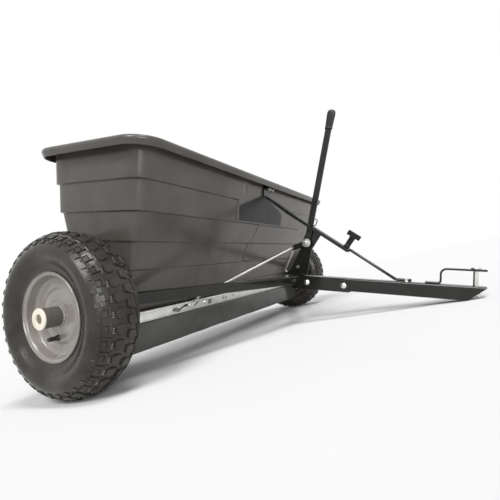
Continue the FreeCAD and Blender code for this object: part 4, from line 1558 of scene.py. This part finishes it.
@dataclass(frozen=True)
class Underbody:
    """What closes the hopper's foot: two deflector sheets, the closure slide and the end plates."""

    half_run: float = 542.2
    skirt: float = 62.0
    low: float = 64.0
    high: float = 132.2
    flange: float = 20.0
    sheet: float = 2.0
    slide_low: float = 132.6
    slide_gauge: float = 2.0
    slide_front: float = 60.0
    slide_rear: float = 46.0
    slide_lip: float = 26.0
    slide_ends: tuple[float, float] = (-551.0, 523.0)
    lip_sheet: float = 1.8
    lug_place: float = -272.0
    lug_half: float = 12.0
    lug_gauge: float = 3.0
    bearing_seat: float = 545.26
    bearing: tuple[Spot, ...] = ((0, 9.55), (8.2, 9.55), (9, 10.4), (9, 18), (8, 19), (0, 19))

    def deflector(self, side: int) -> Solid:
        """A deflector: a folded sheet whose skirt is slightly wavy, as thin sheet is.

        The skirt moves in by the size of three slow sines of X, in proportion to the depth below its fold.

        Args:
            side: -1 for the front sheet, +1 for the rear one.

        Returns:
            The sheet.
        """
        face = self.skirt - self.sheet / 2
        middle = rounded([(face - 3.5, self.low + 0.9, 0), (face, self.low + 1.0, 0.9),
                          (face, self.high - self.sheet / 2, 3),
                          (self.skirt - self.flange, self.high - self.sheet / 2, 0)], 6, closed=False)
        tall = np.linspace(self.low + 6, self.high - 8, 9)
        split = int(np.argmax(middle[:, 1] > self.low + 5))
        middle = np.concatenate([middle[:split], np.column_stack([np.full(9, face), tall]), middle[split:]])
        outline = band(middle, self.sheet)
        x = np.linspace(-self.half_run, self.half_run, 90)[:, None]
        wave = (np.sin(x / 71 + 0.6) + 0.8 * np.sin(x / 39 + 2.1) + 0.3 * np.sin(x / 23)) * 1.1
        depth = np.clip((self.high - outline[:, 1]) / (self.high - self.low), 0, 1)
        y = side * (outline[:, 0] - np.abs(wave) * depth * 1.2)
        return capped(np.stack(np.broadcast_arrays(x, y, outline[:, 1]), axis=-1))

    def slide(self) -> Solid:
        """The closure slide, shut, with its openings between the outlets, and a lip with a rolled edge.

        Returns:
            The slide.
        """
        left, right = self.slide_ends
        low, high = self.slide_low, self.slide_low + self.slide_gauge
        front, top = -self.slide_front, low + self.slide_lip
        pan = OUTLETS.sheet((left, front + self.slide_gauge, low), (right, self.slide_rear, high), -0.5)
        middle = rounded([(front + 8, high - 1, 0), (front + 2.2, high - 1, 3),
                          (front + 2.2, top - 6.5, 0.8), (front + 0.9, top - 5.5, 0.8),
                          (front + 0.9, top - 0.9, 0.8), (front + 4.6, top - 1.2, 0.8),
                          (front + 4.6, top - 5, 0)], 5, closed=False)
        return joined([*pan, prism(band(middle, self.lip_sheet), left, right)])

    def lip_face(self) -> tuple[float, float, float]:
        """The place of the lip's rear face along Y, and the levels of its foot and top."""
        return self.slide_gauge - self.slide_front, self.slide_low, self.slide_low + self.slide_lip

    def lip_marks(self) -> Solid:
        """The bright things on the lip: a doubling plate with a slanting strut, ribs and two bolts.

        Returns:
            The bright things.
        """
        face, low, top = self.lip_face()
        plate = rounded_box((-300, low + 3), (-212, top - 1), 3)
        strut = rounded([(-286, low + 4, 2), (-276, low + 4, 2), (-236, top - 2, 2), (-250, top - 2, 2)], 4)
        solids = [prism(plate, face - 2.0, face - 0.1, Plane.FRONT),
                  prism(strut, face - 6.0, face - 1.8, Plane.FRONT)]
        solids += [prism(rounded_box((x, low + 9), (x + 4, top - 8), 1.2, 3), face - 0.9, face + 0.2,
                         Plane.FRONT) for x in (-128, -117, -64)]
        solids += [hexagon_head(11, 4.5).aimed((x, face - 1.8, low + 13), (x, face - 3, low + 13))
                   for x in (-292, -220)]
        return joined(solids)

    def lip_painted_shade(self) -> Solid:
        """Painted shade on the lip: dark patches, a hooked one and a pad beside the doubling plate and
        three small dabs, where its slots and holes lie in shadow.

        Returns:
            The patches of painted shade.
        """
        face, low, top = self.lip_face()
        hook = rounded([(-366, low + 8, 3), (-340, low + 3, 3), (-304, top - 4, 3), (-304, top - 12, 3),
                        (-338, low + 12, 2), (-352, top - 9, 3), (-366, top - 10, 3)], 4)
        pad = rounded_box((-204, low + 5), (-186, top - 1), 2)
        dabs = [rounded_box((x, low + 10), (x + 5, top - 9), 1, 3) for x in (-121, -104, -57)]
        return joined(prism(outline, face - 1.4, face - 0.1, Plane.FRONT)
                      for outline in (hook, pad, *dabs))

    def lug(self) -> Solid:
        """The lug that the link pulls on: a flat ear on the lip's top edge, rounded in front.

        Returns:
            The lug.
        """
        face, _, top = self.lip_face()
        left, right = self.lug_place - self.lug_half, self.lug_place + self.lug_half
        front = -self.slide_front - self.lug_half
        ear = rounded([(left, front, 5), (right, front, 5), (right, face, 0.5), (left, face, 0.5)], 6)
        return prism(ear, top, top + self.lug_gauge, Plane.FLOOR)

    def build(self, shop: Workshop) -> None:
        """Make the sheets and the slide, and finish the end plates and bearings.

        Args:
            shop: what makes the pieces and keeps their materials.
        """
        for name, side in (("front", -1), ("rear", 1)):
            shop.piece(f"deflector_{name}", self.deflector(side), SHEET_PAINT,
                       stands_for=[f"{name}_deflector"], crease=50)
        shop.piece("slide_sheet", self.slide(), ZINC, Body.CLOSURE, ["closure_slide"], crease=40)
        shop.piece("slide_marks", self.lip_marks(), ZINC, Body.CLOSURE, bevel=0.3)
        # dark patches of painted shade on the lip
        shop.piece("slide_fittings", self.lip_painted_shade(), PAINTED_SHADE_STEEL, Body.CLOSURE, bevel=0.3)
        shop.piece("slide_ear", self.lug(), ZINC, Body.CLOSURE, ["slide_lug"], bevel=0.4)
        for name, side in (("left", 1), ("right", -1)):
            shop.dress(f"end_plate_{name}", BLACK_PAINT)
            x = side * self.bearing_seat
            ring = turned(self.bearing, closed=True).aimed((x, 0, AXLE_HEIGHT), (x + side, 0, AXLE_HEIGHT))
            shop.piece(f"bearing_{name}", ring, NYLON, stands_for=[f"axle_bearing_{name}"], crease=40)


@dataclass(frozen=True)
class Axle:
    """The axle with the agitator's blades, which turn with the driving wheel."""

    reach: float = 681.0
    chamfer: float = 1.2
    blade_half: float = 2.5
    blade_reach: float = 24.0
    blade_half_width: float = 13.3
    blade_corner: float = 3.5
    collar_half: float = 9.0
    collar_radius: float = 12.5

    def shaft(self) -> Solid:
        """The axle: a plain shaft with its ends broken.

        Returns:
            The shaft.
        """
        r, far, cut = AXLE_RADIUS, self.reach, self.chamfer
        profile = [(-far, 0), (-far, r - cut), (cut - far, r), (far - cut, r), (far, r - cut), (far, 0)]
        return turned(profile, 40).moved(z=AXLE_HEIGHT)

    def agitator(self) -> Solid:
        """The blades: rounded plates on short collars, one above each outlet.

        Returns:
            The blades and collars.
        """
        a, b, c, r = self.blade_half_width, self.blade_reach, self.collar_half, self.collar_radius
        blade = prism(rounded_box((-a, -b), (a, b), self.blade_corner), -self.blade_half, self.blade_half)
        collar = turned([(-c, AXLE_RADIUS), (c, AXLE_RADIUS), (c, r), (-c, r)], 28, closed=True)
        one = joined([blade, collar]).moved(z=AXLE_HEIGHT)
        return joined(one.moved(x=x) for x in OUTLETS.middles())

    def build(self, shop: Workshop) -> None:
        """Make the shaft and the blades."""
        shop.piece("axle_shaft", self.shaft(), AXLE_STEEL, Body.AXLE, ["axle"])
        shop.piece("agitator_blades", self.agitator(), ZINC, Body.AXLE, ["agitator"], crease=40)


@dataclass(frozen=True)
class Control:
    """The hand lever, the slotted strap that guides it, and the link that draws the slide."""

    pivot_y: float = -298.0
    pivot_z: float = 328.0
    lean: float = 9.6
    length: float = 419.6
    width: float = 19.0
    gauge: float = 6.0
    foot: float = 14.0
    grip_length: float = 60.0
    grip_width: float = 26.0
    grip_depth: float = 15.0
    arm_reach: float = 42.0
    arm_drop: float = 16.0
    arm_gauge: float = 5.0
    plate_gauge: float = 3.0
    plate_x: float = 5.0
    plate_foot: float = 77.0
    plate_heel: float = 58.0
    plate_reach: float = 47.0
    plate_neck: float = 13.3
    strap_half: float = 15.0
    strap_top: tuple[float, float] = (-148.3, 484.0)
    strap_end: tuple[float, float] = (-429.0, 313.0)
    tab_top: float = 524.0
    tab_height: float = 22.0
    tab_reach: float = 62.0
    slot_half: float = 6.0
    slot: tuple[float, float] = (-240.0, -418.0)
    channel_from: float = -152.0
    channel_full: float = -230.0
    channel_depth: tuple[float, float] = (5.0, 12.0)
    knob_place: float = 8.0
    link_foot: Place = (-272.0, -66.0, 165.9)
    link_x: float = -12.8
    link_bend: float = 7.0
    link_radius: float = 4.0
    bolt_radius: float = 5.0
    cheek_bolt: Spot = (-266, 249)
    tab_nuts: tuple[Spot, Spot] = ((26, 514), (50, 514))
    brace: tuple[Corner, ...] = ((-431, 311.5, 0), (-565, 228.6, 22), (-606, 228.6, 0))
    brace_radius: float = 4.2
    stay: tuple[Corner, ...] = ((-231, 230.2, 0), (-223, 237, 4), (-252, 306, 0))
    stay_x: float = 1.9
    stay_radius: float = 3.0
    catch: tuple[Corner, ...] = ((-312, 379, 0), (-330, 384, 3), (-335, 400, 3), (-316, 409, 0))
    catch_x: float = -16.6
    catch_radius: float = 1.6

    def fall(self) -> float:
        """The slope of the strap, in degrees."""
        (y0, z0), (y1, z1) = self.strap_top, self.strap_end
        return math.degrees(math.atan2(z0 - z1, y0 - y1))

    def strap_z(self, y: float) -> float:
        """The level of the strap's top face at a place along Y."""
        return self.strap_top[1] + (y - self.strap_top[0]) * math.tan(math.radians(self.fall()))

    def strap_middle(self, y: float) -> Spot:
        """The middle of the strap's sloping sheet at a place along Y."""
        return y, self.strap_z(y) - self.plate_gauge / 2 / math.cos(math.radians(self.fall()))

    def pivoted(self, solid: Solid, lean: float) -> Solid:
        """A solid drawn upright about the lever's pivot, leaned and set in its place."""
        return solid.tipped(lean).moved(y=self.pivot_y, z=self.pivot_z)

    def lever(self) -> Solid:
        """The lever's bar, leaned forward.

        Returns:
            The bar.
        """
        half, top = self.width / 2, self.length - 8
        bar = rounded([(-half, -self.foot, 8), (half, -self.foot, 8), (half, top, 2), (-half, top, 2)], 6)
        return self.pivoted(prism(bar, -self.gauge / 2, self.gauge / 2), self.lean)

    def arm(self) -> Solid:
        """The short arm behind the pivot: a plate with round ends that tapers to the link's eye.

        Returns:
            The arm.
        """
        along = math.hypot(self.arm_reach, self.arm_drop)
        plate = rounded([(-9, -9, 8), (10, -9.4, 3), (along + 8.6, -7.6, 7.4), (along + 8.6, 7.6, 7.4),
                         (10, 9.4, 3), (-9, 9, 8)], 6)
        slope = -math.degrees(math.atan2(self.arm_drop, self.arm_reach))
        low = -self.gauge / 2 - self.arm_gauge
        return self.pivoted(prism(plate, low, low + self.arm_gauge), slope)

    def grip(self) -> Solid:
        """The dipped grip: a flattened sleeve with a rolled lower edge and a domed top.

        Each ring is |x / b|^n + |y / a|^n = 1, with n = 2.6, b half the grip's depth and a half its
        width, and the ring's size follows the height.

        Returns:
            The grip.
        """
        low, top = self.length - self.grip_length, self.length
        rows = [(low, 0.80), (low + 0.8, 0.90), (low + 2.6, 0.92), (low + 4.6, 0.90), (low + 7, 0.87),
                (low + 22, 0.92), (low + 40, 0.99), (top - 12, 0.99), (top - 6, 0.90), (top - 2.4, 0.68),
                (top - 0.6, 0.40), (top, 0.0)]
        line = np.concatenate([[(low, 0.0)], curve(rows, 5)])
        angle = np.linspace(0, ROUND, 40, endpoint=False)
        x, y = (np.sign(way) * np.abs(way) ** (2 / 2.6) * across / 2
                for way, across in ((np.cos(angle), self.grip_depth), (np.sin(angle), self.grip_width)))
        size = np.clip(line[:, 1:], 0, 1)
        grid = np.stack(np.broadcast_arrays(x * size, y * size, line[:, :1]), axis=-1)
        return self.pivoted(skin(grid), self.lean)

    def bracket(self) -> Solid:
        """The upright plate beside the lever, its foot on the tongue and its nose under the strap.

        Returns:
            The bracket.
        """
        y, top, low = self.pivot_y, self.pivot_z, TONGUE_TOP
        rear, heel, nose = y + self.plate_foot, y + self.plate_heel, y - self.plate_reach
        under = self.plate_gauge + 0.3
        plate = rounded([(rear, low, 1), (rear, low + 6, 2), (heel, low + 12, 8), (y + 19, top - 9.5, 8),
                         (y + self.plate_neck, top + 18, 6), (y - 6, self.strap_z(y - 6) - under, 3),
                         (nose, self.strap_z(nose) - under, 2), (y - self.plate_neck, top - 22, 10),
                         (y, low, 1)], 5)
        foot = box((-19, y, low), (self.plate_x, rear, low + self.plate_gauge))
        return joined([prism(plate, self.plate_x, self.plate_x + self.plate_gauge), foot])

    def strap(self) -> Solid:
        """The guide strap: a tab on the hopper, a slope with a long slot, and turned-down sides.

        Returns:
            The strap.
        """
        t, half, slot = self.plate_gauge, self.strap_half, self.slot_half
        (face, bend), end_y = self.strap_top, self.strap_end[0]
        rear, front, last = (self.strap_middle(y) for y in (*self.slot, end_y))
        upright = face + t / 2
        head = rounded([(upright, self.tab_top, 0), (upright, bend - 1, 5), (*rear, 0)], 6, closed=False)
        sides, end = band(np.array([rear, front]), t), band(np.array([front, last]), t)
        start, (shallow, deep) = self.channel_from, self.channel_depth
        corners = ((start, 0.5), (end_y, 0.5), (end_y, deep), (self.channel_full, deep),
                   (start - 4, shallow))
        cheek = np.array([(y, self.strap_z(y) - drop) for y, drop in corners])
        tab = rounded_box((-half, self.tab_top - self.tab_height), (self.tab_reach, self.tab_top), 3)
        return joined([prism(band(head, t), -half, half), prism(sides, -half, -slot),
                       prism(sides, slot, half), prism(end, -half, half), prism(cheek, -half, t - half),
                       prism(cheek, half - t, half), prism(tab, face, face + t, Plane.FRONT)])

    def knob(self) -> Solid:
        """The stop knob: a stepped stem that stands on the strap and a cross bar along it.

        Returns:
            The knob.
        """
        stem = turned([(0, 0), (0, 9.5), (5, 9.5), (6.5, 8.6), (18, 8.4), (30, 8.8), (37, 9.4),
                       (37, 0)], 28).tipped(-90, "y")
        outline = rounded([(-21, -7.5, 4), (-8, -7.5, 3), (0, -6.6, 3), (8, -7.5, 3), (21, -7.5, 4),
                           (21, 7.5, 4), (8, 7.5, 3), (0, 6.6, 3), (-8, 7.5, 3), (-21, 7.5, 4)], 5)
        bar = prism(outline, 35.4, 50.0, Plane.FLOOR).tipped(90, "z")
        turn, (y, z) = math.radians(self.fall()), self.strap_end
        return joined([stem, bar]).tipped(self.fall()).moved(
            y=y + self.knob_place * math.cos(turn), z=z + 0.1 + self.knob_place * math.sin(turn))

    def link(self) -> Solid:
        """The link: a straight rod from the arm's eye, whose foot is bent down through the lug.

        Returns:
            The rod.
        """
        foot = np.array(self.link_foot)
        head = np.array([self.link_x, self.pivot_y + self.arm_reach, self.pivot_z - self.arm_drop])
        turn = unit(head - foot) * self.link_bend
        down = np.array([0.0, 0.0, -self.link_bend])
        share = np.linspace(0, 1, 24)[:, None]
        bend = np.sin(np.linspace(0, math.pi / 2, 7))[::-1, None]
        tail = foot + turn * (1 - bend) + down * (1 - np.sqrt(1 - bend ** 2))
        straight = foot + turn + (head - foot - turn) * share
        path = np.concatenate([tail[:1] + np.array([0.0, 0.0, -5.0]), tail[:-1], straight])
        return rod(path, self.link_radius, (0, 1, 0), 18)

    def fasteners(self) -> Solid:
        """The pivot's bolt: a nut on a washer and the bolt's end beside the arm, the shank and the head.

        Returns:
            The fasteners.
        """
        y, z, r = self.pivot_y, self.pivot_z, self.bolt_radius
        face = -self.gauge / 2 - self.arm_gauge - 0.3
        other = self.plate_x + self.plate_gauge
        near = joined([nut(15.5, 5.6, 13.5, r, 2), stud(r, 4.2, 0.8).moved(x=7)])
        return joined([near.aimed((face, y, z), (face - 1, y, z)),
                       stud(r, other - face).aimed((face, y, z), (other, y, z)),
                       hexagon_head(16, 7).aimed((other, y, z), (other + 1, y, z))])

    def small_bolts(self) -> Solid:
        """The bolt on the bracket's plate and the two nuts on the strap's tab.

        Returns:
            The bolt and the nuts.
        """
        x, face = self.plate_x, self.strap_top[0]
        bolt = hexagon_head(11, 5).aimed((x, *self.cheek_bolt), (x - 1, *self.cheek_bolt))
        return joined([bolt, *(nut(11, 5.5, 7.5, 3.5, 1.2).aimed((place, face, z), (place, face - 1, z))
                               for place, z in self.tab_nuts)])

    def build(self, shop: Workshop) -> None:
        """Make the control's pieces.

        Args:
            shop: what makes the pieces and keeps their materials.
        """
        bar = joined([self.lever(), self.arm()])
        brace = rod(bent(self.brace, 0), self.brace_radius, steps=20)
        stay = rod(bent(self.stay, self.stay_x), self.stay_radius)
        catch = rod(bent(self.catch, self.catch_x), self.catch_radius, steps=10)
        for name, solid, finish, body, nodes, bevel in (
                ("lever_bar", bar, BLACK_PAINT, Body.LEVER, ["control_lever"], 0.7),
                ("lever_sleeve", self.grip(), GRIP_VINYL, Body.LEVER, ["lever_grip"], 0),
                ("bracket_plate", self.bracket(), BLACK_PAINT, Body.FRAME, ["lever_bracket"], 0.4),
                ("guide_strap", self.strap(), BLACK_PAINT, Body.FRAME, ["control_strap"], 0.35),
                ("knob_clamp", self.knob(), KNOB_PLASTIC, Body.FRAME, ["stop_knob"], 1.2),
                ("link_bar", self.link(), ROD_STEEL, Body.LINK, ["link_rod"], 0),
                ("pivot_fasteners", self.fasteners(), ZINC, Body.FRAME, ["pivot_bolt"], 0),
                ("small_bolts", self.small_bolts(), ZINC, Body.FRAME, [], 0),
                ("brace_rod", brace, BLACK_PAINT, Body.FRAME, ["strap_brace"], 0),
                ("stay_rod", stay, ROD_STEEL, Body.FRAME, ["bracket_stay"], 0),
                ("catch_wire", catch, BLACK_PAINT, Body.FRAME, ["lever_catch"], 0)):
            shop.piece(name, solid, finish, body, nodes, bevel)


def posed(item: bpy.types.Object, axes: Sequence[np.ndarray], place: Sequence[float]) -> None:
    """Put an object at a place, with its right, upward and backward directions along the axes.

    Args:
        item: the object.
        axes: the three directions, in the parked frame.
        place: where it goes, in metres.
    """
    pose = np.eye(4)
    pose[:3, :3] = np.array(axes).T
    pose[:3, 3] = place
    item.matrix_world = Matrix(pose.tolist())


@dataclass(frozen=True)
class Studio:
    """The floor, the soft lights, the white surround and the camera.

    The camera's place is given in the level frame, in millimetres, with its yaw from +X towards
    +Y, its pitch and its roll in degrees; it turns with the machine into the parked frame.
    """

    camera: Place = (-1088.304, -666.774, 325.525)
    yaw: float = 27.8915
    pitch: float = -1.19726
    roll: float = 1.14174
    lens: float = 25.4413
    film: float = 36.0
    near: float = 0.01
    surround: float = 0.2
    floor_half: float = 30.0
    floor_tones: tuple[float, float] = (0.84, 0.87)
    lamps: tuple[tuple[str, Place, float, float], ...] = (
        ("overhead", (-0.35, -0.95, 2.6), 20, 1.3), ("key", (-2.4, -0.4, 2.6), 26, 2.05),
        ("front", (-1.9, -2.2, 0.8), 34, 1.8))
    aim: Place = (0, 0, 0.3)

    def shoot_from(self, stance: Stance) -> None:
        """Put the camera in place.

        Args:
            stance: how the machine stands.
        """
        yaw, pitch, roll = (math.radians(angle) for angle in (self.yaw, self.pitch, self.roll))
        level = math.cos(pitch)
        ahead = np.array([level * math.cos(yaw), level * math.sin(yaw), math.sin(pitch)])
        right = unit(np.cross(ahead, [0, 0, 1]))
        up = np.cross(right, ahead)
        rolled = math.cos(roll) * right + math.sin(roll) * up
        upright = -math.sin(roll) * right + math.cos(roll) * up
        data = bpy.data.cameras.new("camera")
        data.sensor_width, data.lens, data.clip_start = self.film, self.lens, self.near
        item = linked("camera", data)
        axes = stance.turned(np.stack([rolled, upright, -ahead]))
        posed(item, axes, stance.parked(np.array(self.camera)))
        bpy.context.scene.camera = item

    def lamp(self, name: str, place: Place, breadth: float, strength: float) -> None:
        """Hang a broad, soft and even light that shines from a place towards the machine.

        Args:
            name: the light's name.
            place: where it shines from, in metres of the parked frame.
            breadth: how wide it looks from the machine, in degrees.
            strength: what it sheds on a surface that faces it, in watts for each square metre.
        """
        data = bpy.data.lights.new(name, "SUN")
        data.angle, data.energy = math.radians(breadth), strength
        away = unit(np.array(place, float) - np.array(self.aim))
        side = unit(np.cross([0.0, 1.0, 0.02], away))
        posed(linked(name, data), [side, np.cross(away, side), away], place)

    @staticmethod
    def seen(tree: bpy.types.NodeTree) -> Socket:
        """1 for camera, glossy and transmission rays, which show the surround itself; 0 for others.

        Args:
            tree: the world's node tree.

        Returns:
            The value.
        """
        path = tree.nodes.new("ShaderNodeLightPath")
        found = path.outputs["Is Camera Ray"]
        for name in ("Is Glossy Ray", "Is Transmission Ray"):
            either = tree.nodes.new("ShaderNodeMath")
            either.operation = "MAXIMUM"
            tree.links.new(found, either.inputs[0])
            tree.links.new(path.outputs[name], either.inputs[1])
            found = either.outputs[0]
        return found

    def surroundings(self) -> None:
        """A world that is white to the camera, to gloss and through glass, and a soft fill elsewhere."""
        world = bpy.data.worlds.new("surround")
        world.use_nodes = True
        bpy.context.scene.world = world
        nodes, links = world.node_tree.nodes, world.node_tree.links
        level = nodes.new("ShaderNodeMapRange")
        links.new(self.seen(world.node_tree), level.inputs["Value"])
        level.inputs["To Min"].default_value = self.surround
        level.inputs["To Max"].default_value = 1.0
        links.new(level.outputs["Result"], nodes["Background"].inputs["Strength"])
        nodes["Background"].inputs["Color"].default_value = (1, 1, 1, 1)

    def floor(self) -> None:
        """A wide pale floor under the wheels."""
        mesh = bpy.data.meshes.new("floor")
        half = self.floor_half
        mesh.from_pydata([(x * half, y * half, 0) for x, y in ((-1, -1), (1, -1), (1, 1), (-1, 1))], [],
                         [(0, 1, 2, 3)])
        graph = Graph("floor_paint")
        tones = [opaque((tone, tone, tone)) for tone in self.floor_tones]
        tone = graph.blend(graph.noise(graph.place(), 3, 2), *tones)
        mesh.materials.append(graph.finish(Base_Color=tone, Roughness=0.9, Specular_IOR_Level=0.1))
        linked("floor", mesh)

    def build(self, shop: Workshop) -> None:
        """Set the studio up.

        Args:
            shop: what makes the pieces and keeps their materials.
        """
        self.floor()
        self.surroundings()
        for lamp in self.lamps:
            self.lamp(*lamp)
        self.shoot_from(shop.stance)
        bpy.context.scene.view_settings.view_transform = "Standard"


def main() -> None:
    """Build every sub-assembly in turn."""
    logging.basicConfig(level=logging.INFO, format="%(message)s")
    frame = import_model()
    shop = Workshop(Stance.from_record(frame["record"]), frame["nodes"])
    parts = (Hopper(), Wheel("left", 1, Body.AXLE, True), Wheel("right", -1, Body.FREE_WHEEL, False),
             Drawbar(), Underbody(), Axle(), Control(), Studio())
    for part in parts:
        part.build(shop)
    LOG.info("%d pieces", shop.count)


if __name__ == "__main__":
    main()
